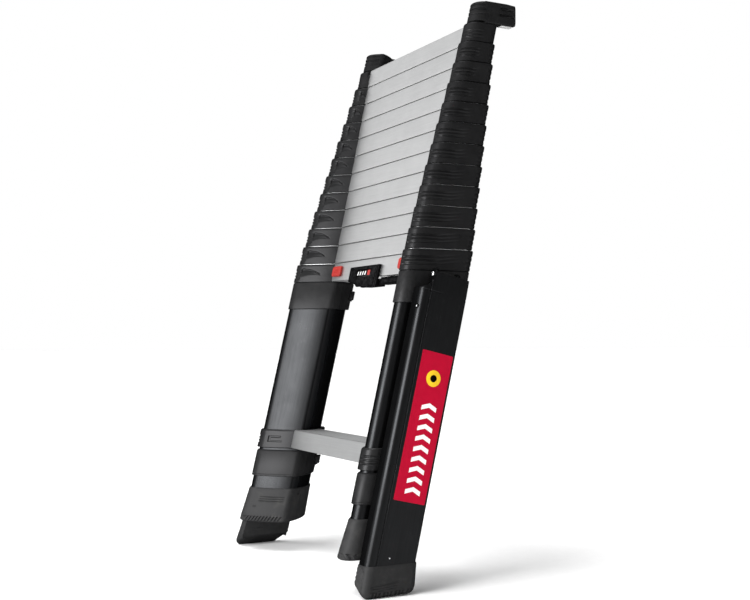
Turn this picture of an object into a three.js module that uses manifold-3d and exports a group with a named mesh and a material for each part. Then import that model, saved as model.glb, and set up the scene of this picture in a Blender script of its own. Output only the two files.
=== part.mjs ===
// A telescoping lean-to ladder, closed, with a folding stabiliser leg on each stile.
//
// Millimetres. +Z is up, +X runs along the rungs and +Y points back to the wall.
// The ladder stands as it does in use: it leans back by LEAN, and every tread,
// collar and sole is level. A shape with level ends is drawn on its plan (x, v),
// extruded upwards and then sheared by lean(), so that its walls follow the
// stiles. A shape that is square to the stiles is drawn in the ladder's own
// axes (x, y, z along the stile) and turned by tilt().

import * as THREE from 'three';
import { mergeVertices } from 'three/addons/utils/BufferGeometryUtils.js';
import Module from 'manifold-3d';

const wasm = await Module();
wasm.setup();

// Stance
const LEAN = THREE.MathUtils.degToRad(13);
const SLOPE = Math.tan(LEAN);
const DEPTH_SHIFT = -115.05;

// Telescoping sections
const SECTIONS = 11;
const PITCH = 33.5 * Math.cos(LEAN);
const STACK_BOTTOM = 465;
const TREAD_GAP = 1.0;
const COLLAR_GAP = 2.6;
const TUBE_LENGTH = 372;
const STEP_IN = 1.45;
const WALL = 1.15;
const FIT = 0.3;

// Stile section: a rounded triangle with bowed inner faces and a flat outer side
const OUTER_SIDE = 210;
const FRONT_CORNER = [196, -30];
const REAR_CORNER = [196, 50.6];
const CORNER_RADIUS = 14;
const INNER_APEX = [139.1, 6.7];
const APEX_RADIUS = 6;
const FRONT_BOW = 230;
const REAR_BOW = 120;
const SIDE_STEP_IN = 0.15;
const FRONT_RADIUS_LOSS = 0.02;
const REAR_RADIUS_LOSS = 0.44;
const APEX_RADIUS_LOSS = 0.2;

// Base section
const BASE_WALL = 1.3;
const BASE_TUBE_BOTTOM = 57;
const COLLAR_GROWTH = 4.2;
const COLLAR_SHIFT = 1.6;
const STEP_COLLAR_GROWTH = 6;
const SLEEVE_GROWTH = 3.5;
const BRACKET_GROWTH = 4.1;
const BRACKET_SHIFT = 1.8;
const OUTER_LIMIT = 214.9;
const UPPER_SLEEVE = [417, 464.6];
const LOWER_SLEEVE = [126.5, 171];
const UPPER_LUG = [434, 450];
const LOWER_LUG = [143, 158];
const LUG_HALF_WIDTH = 7;
const LUG_PROUD = 7.5;
const LUG_FROM_CORNER = 14;
const SHOE_SOLE = 49;
const SHOE_EDGE = 55;
const SHOE_TOP = 106;
const SHOE_GROWTH = 2.4;
const SOLE_GROWTH = 5.8;
const SOLE_SHIFT = -2.2;

// Rungs and bottom step
const RUNG_DEPTH = 47;
const RUNG_REACH = 172;
const RUNG_WALL = 1.8;
const EDGE_CHAMFER = 1.4;
const BOTTOM_STEP = [175, 206];
const BOTTOM_STEP_FRONT = -8.2;
const BOTTOM_STEP_DEPTH = 51;

// Stabiliser leg, in the ladder's own axes
const LEG_INNER = 215.5;
const LEG_OUTER = 241.5;
const LEG_FRONT = -27;
const LEG_REAR = 50;
const LEG_FRONT_RADIUS = 12;
const LEG_REAR_RADIUS = 5;
const LEG_WALL = 3;
const LEG_TOP = 471;
const LEG_CUT = 445;
const LEG_CUT_RISE = 12;
const LEG_BOTTOM = 26;
const OPEN_ANGLE = THREE.MathUtils.degToRad(25);
const PIVOT = [231, 468];
const PIVOT_RADIUS = 3.1;
const LUG_RADIUS = 9.5;
const EAR_RADIUS = 6.5;
const LUG_FRONT = [-9, -4];
const EAR = [-3.6, 27.6];
const LUG_REAR = [28, 33];

// Stabiliser foot
const FOOT_TOP = 44.5;
const FOOT_FLOOR = 25.6;
const FOOT_BLUNT = [1, 1.4];
const FOOT_LONG = [4, 8.5];
const FOOT_SIDE = [1.6, 5];

// Release buttons on the base rung
const BUTTON_CENTRE = [120, 482];
const BUTTON_SIZE = [32, 18];
const BUTTON_PROUD = 5;
const BUTTON_TRAVEL = 8;
const STEM_SIZE = [14, 8];
const BOLT_RADIUS = 4;
const BOLT_DEPTH = 7;
const BOLT_TIP = 139.6;

// Centre catch under the base rung
const CATCH_X = [-62, 42];
const CATCH_Z = [448, 485];
const CATCH_PROUD = 6;
const CATCH_AXIS = [11, 456];
const CATCH_PIN_RADIUS = 4;
const BAR_END = 133;

// Top caps
const CAP_BOTTOM = 857.4;
const CAP_TOP = 889;
const CAP_SHIFT = 4.5;
const CAP_PLUG = 842;
const CAP_PLUG_GAP = 3;
const CAP_WALL_FACE = 65.2;
const CAP_ARM_INNER = 181;
const CAP_ARM_BOTTOM = 854.5;

const BLACK_PLASTIC = { color: 0x2c2d2f, roughness: 0.6, metalness: 0.0 };
const BLACK_ANODISED = { color: 0x232427, roughness: 0.35, metalness: 0.8 };
const SATIN_ALUMINIUM = { color: 0xc9cbcd, roughness: 0.35, metalness: 1.0 };
const RUBBER = { color: 0x242424, roughness: 0.85, metalness: 0.0 };
const RED_PLASTIC = { color: 0xe23a32, roughness: 0.45, metalness: 0.0 };
const STEEL = { color: 0xb9bcc0, roughness: 0.3, metalness: 1.0 };

// ---------------------------------------------------------------- plane geometry

// Where two circles cross; side +1 or -1 picks the point left or right of the
// line from the first centre to the second.
function crossCircles(centreA, radiusA, centreB, radiusB, side) {
  const dx = centreB[0] - centreA[0];
  const dy = centreB[1] - centreA[1];
  const gap = Math.hypot(dx, dy);
  const along = (radiusA ** 2 - radiusB ** 2 + gap ** 2) / (2 * gap);
  const off = side * Math.sqrt(radiusA ** 2 - along ** 2);
  return [
    centreA[0] + (along * dx - off * dy) / gap,
    centreA[1] + (along * dy + off * dx) / gap,
  ];
}

function arcPoints(centre, radius, from, to, steps) {
  const points = [];
  for (let i = 0; i <= steps; i += 1) {
    const angle = from + ((to - from) * i) / steps;
    points.push([centre[0] + radius * Math.cos(angle), centre[1] + radius * Math.sin(angle)]);
  }
  return points;
}

function angleTo(from, to) {
  return Math.atan2(to[1] - from[1], to[0] - from[0]);
}

const FRONT_FACE_CENTRE = crossCircles(
  FRONT_CORNER, FRONT_BOW - CORNER_RADIUS, INNER_APEX, FRONT_BOW, -1);
const REAR_FACE_CENTRE = crossCircles(
  REAR_CORNER, REAR_BOW - CORNER_RADIUS, INNER_APEX, REAR_BOW, 1);

// Plan of a right-hand stile, moved inwards by inset from the base tube's outer
// surface. section (0 at the base) sets how far its corners have tightened, and
// shift moves the whole outline back.
function stileOutline(section, inset, shift = 0) {
  const side = OUTER_SIDE - inset - SIDE_STEP_IN * section;
  const frontFace = FRONT_BOW - inset;
  const rearFace = REAR_BOW - inset;
  const own = inset - STEP_IN * section;
  const front = Math.max(CORNER_RADIUS - FRONT_RADIUS_LOSS * section - own, 2);
  const rear = Math.max(CORNER_RADIUS - REAR_RADIUS_LOSS * section - own, 2);
  const apex = Math.max(APEX_RADIUS - APEX_RADIUS_LOSS * section - own, 2);
  const frontX = side - front;
  const rearX = side - rear;
  const frontCentre = [frontX, FRONT_FACE_CENTRE[1]
    - Math.sqrt((frontFace - front) ** 2 - (frontX - FRONT_FACE_CENTRE[0]) ** 2)];
  const rearCentre = [rearX, REAR_FACE_CENTRE[1]
    + Math.sqrt((rearFace - rear) ** 2 - (rearX - REAR_FACE_CENTRE[0]) ** 2)];
  const apexCentre = crossCircles(
    FRONT_FACE_CENTRE, frontFace - apex, REAR_FACE_CENTRE, rearFace - apex, -1);
  const turn = 2 * Math.PI;
  const frontAngle = angleTo(FRONT_FACE_CENTRE, frontCentre);
  const rearAngle = angleTo(REAR_FACE_CENTRE, rearCentre);
  const apexRear = angleTo(REAR_FACE_CENTRE, apexCentre);
  const apexFront = angleTo(FRONT_FACE_CENTRE, apexCentre) + turn;
  const points = [
    ...arcPoints(frontCentre, front, frontAngle, 0, 5),
    ...arcPoints(rearCentre, rear, 0, rearAngle, 5),
    ...arcPoints(REAR_FACE_CENTRE, rearFace, rearAngle, apexRear, 3).slice(1, -1),
    ...arcPoints(apexCentre, apex, apexRear, apexFront, 3),
    ...arcPoints(FRONT_FACE_CENTRE, frontFace, apexFront, frontAngle + turn, 3).slice(1, -1),
  ];
  return points.map(([x, v]) => [x, v + shift]);
}

function collarOutline(section) {
  return stileOutline(section, STEP_IN * section - COLLAR_GROWTH, COLLAR_SHIFT);
}

// ---------------------------------------------------------------- solids

function shapeOf(points, holes = []) {
  const shape = new THREE.Shape(points.map(([x, y]) => new THREE.Vector2(x, y)));
  for (const hole of holes) {
    shape.holes.push(new THREE.Path(hole.map(([x, y]) => new THREE.Vector2(x, y))));
  }
  return shape;
}

function extrude(points, holes, depth) {
  return new THREE.ExtrudeGeometry(shapeOf(points, holes), { depth, bevelEnabled: false });
}

// Outline on the plan, standing from bottom to top.
function upright(points, holes, bottom, top) {
  return extrude(points, holes, top - bottom).translate(0, 0, bottom);
}

// Solid between two plan outlines that have the same number of points.
function loft(lower, bottom, upper, top) {
  const count = lower.length;
  const points = [
    ...lower.map(([x, v]) => [x, v, bottom]),
    ...upper.map(([x, v]) => [x, v, top]),
  ];
  const index = [];
  for (let i = 0; i < count; i += 1) {
    const j = (i + 1) % count;
    index.push(i, j, count + j, i, count + j, count + i);
  }
  const flat = lower.map(([x, v]) => new THREE.Vector2(x, v));
  for (const [a, b, c] of THREE.ShapeUtils.triangulateShape(flat, [])) {
    index.push(a, c, b, count + a, count + b, count + c);
  }
  const geometry = new THREE.BufferGeometry();
  geometry.setAttribute('position', new THREE.Float32BufferAttribute(points.flat(), 3));
  geometry.setIndex(index);
  return geometry;
}

// Outline of depth and height, running along X.
function crosswise(points, holes, left, right) {
  const turn = new THREE.Matrix4().makeBasis(
    new THREE.Vector3(0, 1, 0), new THREE.Vector3(0, 0, 1), new THREE.Vector3(1, 0, 0));
  return extrude(points, holes, right - left).applyMatrix4(turn).translate(left, 0, 0);
}

function box(x, y, z) {
  return new THREE.BoxGeometry(x[1] - x[0], y[1] - y[0], z[1] - z[0])
    .translate((x[0] + x[1]) / 2, (y[0] + y[1]) / 2, (z[0] + z[1]) / 2);
}

// Round bar along X from left to right, centred on depth and height.
function barAlongX(radius, left, right, depth, height, sides = 16) {
  return new THREE.CylinderGeometry(radius, radius, right - left, sides)
    .rotateZ(Math.PI / 2).translate((left + right) / 2, depth, height);
}

// Round bar along the ladder's own Y.
function barAlongY(radius, front, rear, x, z, sides = 20) {
  return new THREE.CylinderGeometry(radius, radius, rear - front, sides)
    .translate(x, (front + rear) / 2, z);
}

// Slides every level slice back as it rises, so that upright walls follow the stiles.
function lean(geometry) {
  const shear = new THREE.Matrix4().makeShear(0, 0, 0, 0, 0, SLOPE);
  return geometry.applyMatrix4(shear);
}

// Turns a shape drawn in the ladder's own axes into its stance.
function tilt(geometry) {
  return geometry.rotateX(-LEAN);
}

function solid(geometry) {
  const plain = geometry.clone();
  plain.deleteAttribute('normal');
  plain.deleteAttribute('uv');
  const merged = mergeVertices(plain, 1e-4);
  const mesh = new wasm.Mesh({
    numProp: 3,
    vertProperties: new Float32Array(merged.attributes.position.array),
    triVerts: new Uint32Array(merged.index.array),
  });
  return new wasm.Manifold(mesh);
}

function fuse(...parts) {
  return parts.reduce((sum, part) => sum.add(part));
}

function geometryOf(manifold) {
  const mesh = manifold.getMesh();
  const geometry = new THREE.BufferGeometry();
  geometry.setAttribute('position', new THREE.BufferAttribute(new Float32Array(mesh.vertProperties), 3));
  geometry.setIndex(new THREE.BufferAttribute(new Uint32Array(mesh.triVerts), 1));
  const faceted = geometry.toNonIndexed();
  faceted.computeVertexNormals();
  return faceted;
}

// The left-hand copy of a right-hand shape.
function mirrored(geometry) {
  const copy = geometry.index ? geometry.toNonIndexed() : geometry.clone();
  const position = copy.attributes.position;
  for (let i = 0; i < position.count; i += 3) {
    const [ax, ay, az] = [position.getX(i + 1), position.getY(i + 1), position.getZ(i + 1)];
    position.setXYZ(i + 1, position.getX(i + 2), position.getY(i + 2), position.getZ(i + 2));
    position.setXYZ(i + 2, ax, ay, az);
  }
  for (let i = 0; i < position.count; i += 1) {
    position.setX(i, -position.getX(i));
  }
  copy.computeVertexNormals();
  return copy;
}

const ladder = new THREE.Group();

function place(name, geometry, finish) {
  const mesh = new THREE.Mesh(geometry, new THREE.MeshStandardMaterial(finish));
  mesh.name = name;
  mesh.position.set(0, DEPTH_SHIFT, 0);
  ladder.add(mesh);
}

function placePair(name, geometry, finish) {
  place(`${name}_right`, geometry, finish);
  place(`${name}_left`, mirrored(geometry), finish);
}

// ---------------------------------------------------------------- moving sections

function sectionBottom(section) {
  return STACK_BOTTOM + PITCH * section;
}

// One tube with the collar that is fixed around its top.
function movingStile(section) {
  const inset = STEP_IN * section;
  const bottom = sectionBottom(section);
  const top = bottom + PITCH - COLLAR_GAP;
  const bore = stileOutline(section, inset + WALL);
  const tube = upright(stileOutline(section, inset), [bore], top - TUBE_LENGTH, top);
  const collar = upright(collarOutline(section), [bore], bottom, top);
  return geometryOf(fuse(solid(lean(tube)), solid(lean(collar))));
}

// Depth and height outline of a tread, with its edges broken.
function treadOutline(front, depth, bottom, top) {
  const c = EDGE_CHAMFER;
  const rear = front + depth;
  return [
    [front, bottom + c], [front + c, bottom], [rear - c, bottom], [rear, bottom + c],
    [rear, top - c], [rear - c, top], [front + c, top], [front, top - c],
  ];
}

function treadHollow(front, depth, bottom, top) {
  const w = RUNG_WALL;
  const rear = front + depth;
  return [
    [front + w, bottom + w], [rear - w, bottom + w], [rear - w, top - w], [front + w, top - w],
  ];
}

// A hollow tread whose ends are cut to clear the collar at each side.
function tread(front, depth, bottom, top, collar) {
  const outline = treadOutline(front, depth, bottom, top);
  const hollow = treadHollow(front, depth, bottom, top);
  const bar = solid(lean(crosswise(outline, [hollow], -RUNG_REACH, RUNG_REACH)));
  const cutter = lean(upright(collar, [], bottom - 5, top + 5));
  return bar.subtract(solid(cutter)).subtract(solid(mirrored(cutter)));
}

function rung(section) {
  const bottom = sectionBottom(section);
  const clear = stileOutline(section, STEP_IN * section - COLLAR_GROWTH - FIT, COLLAR_SHIFT);
  return tread(0, RUNG_DEPTH, bottom, bottom + PITCH - TREAD_GAP, clear);
}

// ---------------------------------------------------------------- base section

function boltHole() {
  return solid(lean(barAlongX(
    BOLT_RADIUS + FIT, 100, BOLT_TIP + 6, BOLT_DEPTH, BUTTON_CENTRE[1])));
}

function baseTube() {
  const bore = stileOutline(0, BASE_WALL - 0.15);
  const top = STACK_BOTTOM + PITCH - COLLAR_GAP;
  const tube = upright(stileOutline(0, 0), [bore], BASE_TUBE_BOTTOM, top);
  return geometryOf(solid(lean(tube)).subtract(boltHole()));
}

// A ring around the base tube.
function baseRing(outline, bottom, top) {
  return solid(lean(upright(outline, [stileOutline(0, -FIT)], bottom, top)));
}

function baseCollar() {
  const ring = baseRing(collarOutline(0), STACK_BOTTOM, STACK_BOTTOM + PITCH - COLLAR_GAP);
  return geometryOf(ring.subtract(boltHole()));
}

// Room for the folded leg beside the stile.
function legRoom(bottom, top) {
  return solid(lean(box([OUTER_LIMIT, OUTER_LIMIT + 20], [-90, 120], [bottom - 5, top + 5])));
}

function stepCollarOutline(extra = 0) {
  return stileOutline(0, -STEP_COLLAR_GROWTH - extra, COLLAR_SHIFT);
}

function stepCollar() {
  return geometryOf(baseRing(stepCollarOutline(), ...BOTTOM_STEP).subtract(legRoom(...BOTTOM_STEP)));
}

// A lug that stands out of a sleeve's rear inner face.
function rearLug([bottom, top], growth) {
  const face = REAR_BOW + growth;
  const angle = angleTo(REAR_FACE_CENTRE, REAR_CORNER) + LUG_FROM_CORNER / REAR_BOW;
  return solid(lean(box([face - 2, face + LUG_PROUD], [-LUG_HALF_WIDTH, LUG_HALF_WIDTH], [bottom, top])
    .rotateZ(angle).translate(REAR_FACE_CENTRE[0], REAR_FACE_CENTRE[1], 0)));
}

function lowerSleeve() {
  return geometryOf(baseRing(stileOutline(0, -SLEEVE_GROWTH), ...LOWER_SLEEVE)
    .add(rearLug(LOWER_LUG, SLEEVE_GROWTH)));
}

// The sleeve that carries the stabiliser's hinge ear.
function upperBracket() {
  const sleeve = baseRing(stileOutline(0, -BRACKET_GROWTH, BRACKET_SHIFT), ...UPPER_SLEEVE);
  const arm = solid(tilt(box(
    [OUTER_SIDE + 1, PIVOT[0]], EAR, [PIVOT[1] - EAR_RADIUS, PIVOT[1] + EAR_RADIUS])));
  const eye = solid(tilt(barAlongY(EAR_RADIUS, ...EAR, ...PIVOT)));
  const hole = solid(tilt(barAlongY(PIVOT_RADIUS + FIT, EAR[0] - 1, EAR[1] + 1, ...PIVOT)));
  return geometryOf(fuse(sleeve, rearLug(UPPER_LUG, BRACKET_GROWTH), arm, eye).subtract(hole));
}

// A cup that takes the foot of the base tube, wider towards its sole.
function shoe() {
  const wide = stileOutline(0, -SOLE_GROWTH, SOLE_SHIFT);
  const cup = loft(wide, SHOE_EDGE, stileOutline(0, -SHOE_GROWTH), SHOE_TOP);
  const sole = upright(wide, [], SHOE_SOLE, SHOE_EDGE);
  const pocket = upright(stileOutline(0, -FIT), [], BASE_TUBE_BOTTOM - FIT, SHOE_TOP + 5);
  return geometryOf(fuse(solid(lean(cup)), solid(lean(sole)))
    .subtract(legRoom(SHOE_SOLE, SHOE_TOP))
    .subtract(solid(lean(pocket))));
}

// The base rung, with a slot at each end for a release button's stem.
function baseRung() {
  const [x, z] = BUTTON_CENTRE;
  const reach = STEM_SIZE[0] / 2 + FIT;
  const slot = box([x - reach - BUTTON_TRAVEL, x + reach], [-2, RUNG_WALL + 2],
    [z - STEM_SIZE[1] / 2 - FIT, z + STEM_SIZE[1] / 2 + FIT]);
  lean(slot);
  return geometryOf(rung(0).subtract(solid(slot)).subtract(solid(mirrored(slot))));
}

function bottomStep() {
  return geometryOf(tread(
    BOTTOM_STEP_FRONT, BOTTOM_STEP_DEPTH, ...BOTTOM_STEP, stepCollarOutline(FIT)));
}

// Thumb piece in front of the rung, its stem, and the lock bolt behind it.
function releaseButton() {
  const [x, z] = BUTTON_CENTRE;
  const [width, height] = BUTTON_SIZE;
  const head = box([x - width / 2, x + width / 2], [-BUTTON_PROUD - FIT, -FIT],
    [z - height / 2, z + height / 2]);
  const stem = box([x - STEM_SIZE[0] / 2, x + STEM_SIZE[0] / 2], [-1, 5],
    [z - STEM_SIZE[1] / 2, z + STEM_SIZE[1] / 2]);
  const slider = box([x - 12, x + 8], [RUNG_WALL + FIT, 15], [z - 9, z + 9]);
  const bolt = barAlongX(BOLT_RADIUS, x, BOLT_TIP, BOLT_DEPTH, z, 14);
  return geometryOf(fuse(solid(lean(head)), solid(lean(stem)),
    solid(lean(slider)), solid(lean(bolt))));
}

// Front plate with a clipped lower corner, on a block that turns on the bar's pin.
function centreCatch() {
  const [left, right] = CATCH_X;
  const [bottom, top] = CATCH_Z;
  const plate = crosswise([[-FIT - CATCH_PROUD, bottom], [-FIT, bottom], [-FIT, top],
    [-FIT - CATCH_PROUD, top]], [], left, right);
  const clip = new THREE.ExtrudeGeometry(
    shapeOf([[left - 5, bottom - 8], [-5, bottom - 0.2], [left - 0.2, bottom + 13], [left - 5, bottom + 20]]),
    { depth: 60, bevelEnabled: false })
    .rotateX(Math.PI / 2).translate(0, 30, 0);
  const block = box([left + 8, right], [-FIT - 1, CATCH_AXIS[0] + 4],
    [bottom, CATCH_AXIS[1] + 5.4]);
  const bore = barAlongX(CATCH_PIN_RADIUS + FIT, left - 5, right + 5, ...CATCH_AXIS);
  return geometryOf(fuse(solid(lean(plate)), solid(lean(block)))
    .subtract(solid(lean(clip)))
    .subtract(solid(levelBar(bore))));
}

// A round bar along X stays round: it is moved back whole to the leaning axis.
function levelBar(geometry) {
  return geometry.translate(0, CATCH_AXIS[1] * SLOPE, 0);
}

// The bar under the rung, with the pin that the catch turns on.
function catchBar() {
  const bar = box([CATCH_X[1] + 0.5, BAR_END], [2, 20], [450.5, 463.6]);
  const pin = barAlongX(CATCH_PIN_RADIUS, CATCH_X[0] + 4, CATCH_X[1] + 4, ...CATCH_AXIS);
  return geometryOf(fuse(solid(lean(bar)), solid(levelBar(pin))));
}

// ---------------------------------------------------------------- stabilisers

// Plan of the leg's open channel in the ladder's own axes, thickened by extra.
function legSection(extra = 0) {
  const quarter = Math.PI / 2;
  const frontCentre = [LEG_OUTER - LEG_FRONT_RADIUS, LEG_FRONT + LEG_FRONT_RADIUS];
  const rearCentre = [LEG_OUTER - LEG_REAR_RADIUS, LEG_REAR - LEG_REAR_RADIUS];
  const open = LEG_INNER - extra;
  return [
    [open, LEG_FRONT - extra],
    ...arcPoints(frontCentre, LEG_FRONT_RADIUS + extra, -quarter, 0, 6),
    ...arcPoints(rearCentre, LEG_REAR_RADIUS + extra, 0, quarter, 3),
    [open, LEG_REAR + extra],
    [open, LEG_REAR - LEG_WALL - extra],
    ...arcPoints(rearCentre, LEG_REAR_RADIUS - LEG_WALL - extra, quarter, 0, 2),
    ...arcPoints(frontCentre, LEG_FRONT_RADIUS - LEG_WALL - extra, 0, -quarter, 5),
    [open, LEG_FRONT + LEG_WALL + extra],
  ];
}

function lug(range) {
  const plate = box([PIVOT[0] - LUG_RADIUS, LEG_OUTER - 1], range, [LEG_CUT - 16, PIVOT[1]]);
  const round = barAlongY(LUG_RADIUS, ...range, ...PIVOT);
  return fuse(solid(tilt(plate)), solid(tilt(round)));
}

// The channel, with its front cut back below the hinge and a lug on each side of the ear.
function stabiliserLeg() {
  const channel = solid(tilt(upright(legSection(), [], 0, LEG_TOP)));
  const notch = new THREE.ExtrudeGeometry(
    shapeOf([[-60, LEG_CUT - 4], [LEG_FRONT, LEG_CUT], [LUG_FRONT[0], LEG_CUT + LEG_CUT_RISE],
      [LUG_FRONT[0], LEG_TOP + 20], [-60, LEG_TOP + 20]]),
    { depth: 60, bevelEnabled: false });
  const across = new THREE.Matrix4().makeBasis(
    new THREE.Vector3(0, 1, 0), new THREE.Vector3(0, 0, 1), new THREE.Vector3(1, 0, 0));
  notch.applyMatrix4(across).translate(LEG_INNER - 10, 0, 0);
  const lowEnd = box([200, 260], [-90, 90], [-60, LEG_BOTTOM]);
  const hole = barAlongY(PIVOT_RADIUS + FIT, -20, 60, ...PIVOT);
  return geometryOf(fuse(channel.subtract(solid(tilt(notch))), lug(LUG_FRONT), lug(LUG_REAR))
    .subtract(solid(lowEnd))
    .subtract(solid(tilt(hole))));
}

function pivotPin() {
  const front = LUG_FRONT[0] - FIT;
  const rear = LUG_REAR[1] + FIT;
  const shank = barAlongY(PIVOT_RADIUS, front - 1, rear + 1, ...PIVOT);
  const head = barAlongY(PIVOT_RADIUS + 2, front - 2, front, ...PIVOT);
  const tail = barAlongY(PIVOT_RADIUS + 2, rear, rear + 2, ...PIVOT);
  return geometryOf(fuse(solid(tilt(shank)), solid(tilt(head)), solid(tilt(tail))));
}

// Closed plan of the foot around the leg, grown to the front, the rear and the outer side.
function footOutline(front, rear, outer) {
  const quarter = Math.PI / 2;
  const squash = 1 / Math.cos(LEAN);
  const x = LEG_OUTER + outer;
  const frontCentre = [x - LEG_FRONT_RADIUS, LEG_FRONT - front + LEG_FRONT_RADIUS];
  const rearCentre = [x - LEG_FRONT_RADIUS, LEG_REAR + rear - LEG_FRONT_RADIUS];
  return [
    [LEG_INNER - 1, LEG_FRONT - front],
    ...arcPoints(frontCentre, LEG_FRONT_RADIUS, -quarter, 0, 6),
    ...arcPoints(rearCentre, LEG_FRONT_RADIUS, 0, quarter, 6),
    [LEG_INNER - 1, LEG_REAR + rear],
  ].map(([px, py]) => [px, py * squash]);
}

// The floor below the shoes, as it lies against the leg while the leg is folded.
function foldedFloor() {
  const floor = box([-100, 700], [-400, 400], [SHOE_SOLE - 300, SHOE_SOLE]).rotateX(LEAN);
  floor.translate(-PIVOT[0], 0, -PIVOT[1]).rotateY(OPEN_ANGLE).translate(PIVOT[0], 0, PIVOT[1]);
  return solid(tilt(floor));
}

// A rubber block that the channel stands in. Its sole is cut to lie flat once the leg is open.
// One moulding serves both legs, turned about, so its long end is to the rear on the right
// and to the front on the left.
function stabiliserFoot(front, rear) {
  const block = loft(
    footOutline(front[1], rear[1], FOOT_SIDE[1]), -4,
    footOutline(front[0], rear[0], FOOT_SIDE[0]), FOOT_TOP);
  const pocket = tilt(upright(legSection(FIT), [], -20, 90));
  const floor = box([190, 270], [-90, 120], [-30, FOOT_FLOOR]);
  const ground = box([190, 270], [-90, 120], [-30, 0]);
  return geometryOf(solid(lean(block))
    .subtract(foldedFloor())
    .subtract(solid(ground))
    .subtract(solid(pocket).subtract(solid(floor))));
}

// ---------------------------------------------------------------- top caps

// Stands over the top collar, plugs the last tube and reaches back to rest on the wall.
function topCap() {
  const top = SECTIONS;
  const inset = STEP_IN * top;
  const rise = CAP_TOP * SLOPE;
  const cover = lean(upright(
    stileOutline(top, inset - COLLAR_GROWTH, COLLAR_SHIFT + CAP_SHIFT), [], CAP_BOTTOM, CAP_TOP));
  const plug = lean(upright(
    stileOutline(top, inset + WALL + CAP_PLUG_GAP), [], CAP_PLUG, CAP_BOTTOM + 2));
  const outer = OUTER_SIDE - inset - SIDE_STEP_IN * top + COLLAR_GROWTH;
  const inner = CAP_ARM_INNER;
  const start = 30 + rise;
  const reach = CAP_WALL_FACE + rise;
  const arm = upright([[inner, start], [outer, start], [outer, reach - 4], [outer - 4, reach],
    [inner + 4, reach], [inner, reach - 4]], [], CAP_ARM_BOTTOM, CAP_TOP);
  const collarRoom = lean(upright(
    stileOutline(top, inset - COLLAR_GROWTH - FIT, COLLAR_SHIFT), [], CAP_PLUG, CAP_BOTTOM));
  return geometryOf(fuse(solid(arm).subtract(solid(collarRoom)), solid(cover), solid(plug)));
}

// ---------------------------------------------------------------- assembly

for (let section = 1; section <= SECTIONS; section += 1) {
  placePair(`stile_${section}`, movingStile(section), SATIN_ALUMINIUM);
  place(`rung_${section}`, geometryOf(rung(section)), SATIN_ALUMINIUM);
}

placePair('base_tube', baseTube(), BLACK_ANODISED);
placePair('base_collar', baseCollar(), BLACK_PLASTIC);
placePair('upper_bracket', upperBracket(), BLACK_PLASTIC);
placePair('step_collar', stepCollar(), BLACK_PLASTIC);
placePair('lower_sleeve', lowerSleeve(), BLACK_PLASTIC);
placePair('shoe', shoe(), RUBBER);
place('base_rung', baseRung(), SATIN_ALUMINIUM);
place('bottom_step', bottomStep(), SATIN_ALUMINIUM);
placePair('release_button', releaseButton(), RED_PLASTIC);
place('centre_catch', centreCatch(), BLACK_PLASTIC);
place('catch_bar', catchBar(), BLACK_PLASTIC);
placePair('stabiliser_leg', stabiliserLeg(), BLACK_ANODISED);
place('stabiliser_foot_right', stabiliserFoot(FOOT_BLUNT, FOOT_LONG), RUBBER);
place('stabiliser_foot_left', mirrored(stabiliserFoot(FOOT_LONG, FOOT_BLUNT)), RUBBER);
placePair('pivot_pin', pivotPin(), STEEL);
placePair('top_cap', topCap(), BLACK_PLASTIC);

export default ladder;
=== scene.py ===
"""Looks for a closed telescoping ladder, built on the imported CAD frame.

Sizes are in millimetres and turned into metres at the last step. A part of the stiles is
drawn on its plan (x, v) with a level z, and stance() leans it back. A part of a stabiliser
leg is drawn in the ladder's own axes, and own() turns it.
"""
import math

import bmesh
import bpy
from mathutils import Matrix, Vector


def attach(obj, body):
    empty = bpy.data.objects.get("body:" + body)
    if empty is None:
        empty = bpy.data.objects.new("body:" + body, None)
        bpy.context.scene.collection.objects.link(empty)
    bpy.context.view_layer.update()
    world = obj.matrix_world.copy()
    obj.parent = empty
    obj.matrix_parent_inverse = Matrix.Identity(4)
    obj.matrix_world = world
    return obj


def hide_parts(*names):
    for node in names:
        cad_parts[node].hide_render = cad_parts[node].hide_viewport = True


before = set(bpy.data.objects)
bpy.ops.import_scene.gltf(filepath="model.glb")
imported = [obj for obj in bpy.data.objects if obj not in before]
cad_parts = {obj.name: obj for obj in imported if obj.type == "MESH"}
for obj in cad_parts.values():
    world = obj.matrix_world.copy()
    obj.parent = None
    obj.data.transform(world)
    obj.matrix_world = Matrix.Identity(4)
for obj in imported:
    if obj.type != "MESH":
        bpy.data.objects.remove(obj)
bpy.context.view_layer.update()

# Stance
LEAN = math.radians(13)
SLOPE = math.tan(LEAN)
SINE = math.sin(LEAN)
COSINE = math.cos(LEAN)
DEPTH_SHIFT = -115.05
SIDES = (("right", 1), ("left", -1))

# Telescoping sections
SECTIONS = 11
PITCH = 33.5 * COSINE
STACK_BOTTOM = 465
TREAD_GAP = 1.0
COLLAR_GAP = 2.6
COLLAR_HEIGHT = PITCH - COLLAR_GAP
COLLAR_LIP = 1.3
TUBE_LENGTH = 372
STEP_IN = 1.45
SIDE_STEP_IN = 0.15
WALL = 1.15
FIT = 0.3

# Stile section
OUTER_SIDE = 210
FRONT_CORNER = (196, -30)
REAR_CORNER = (196, 50.6)
CORNER_RADIUS = 14
INNER_APEX = (139.1, 6.7)
APEX_RADIUS = 6
FRONT_BOW = 230
REAR_BOW = 120
FRONT_RADIUS_LOSS = 0.02
REAR_RADIUS_LOSS = 0.44
APEX_RADIUS_LOSS = 0.2
OUTER_LIMIT = 214.9

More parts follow.
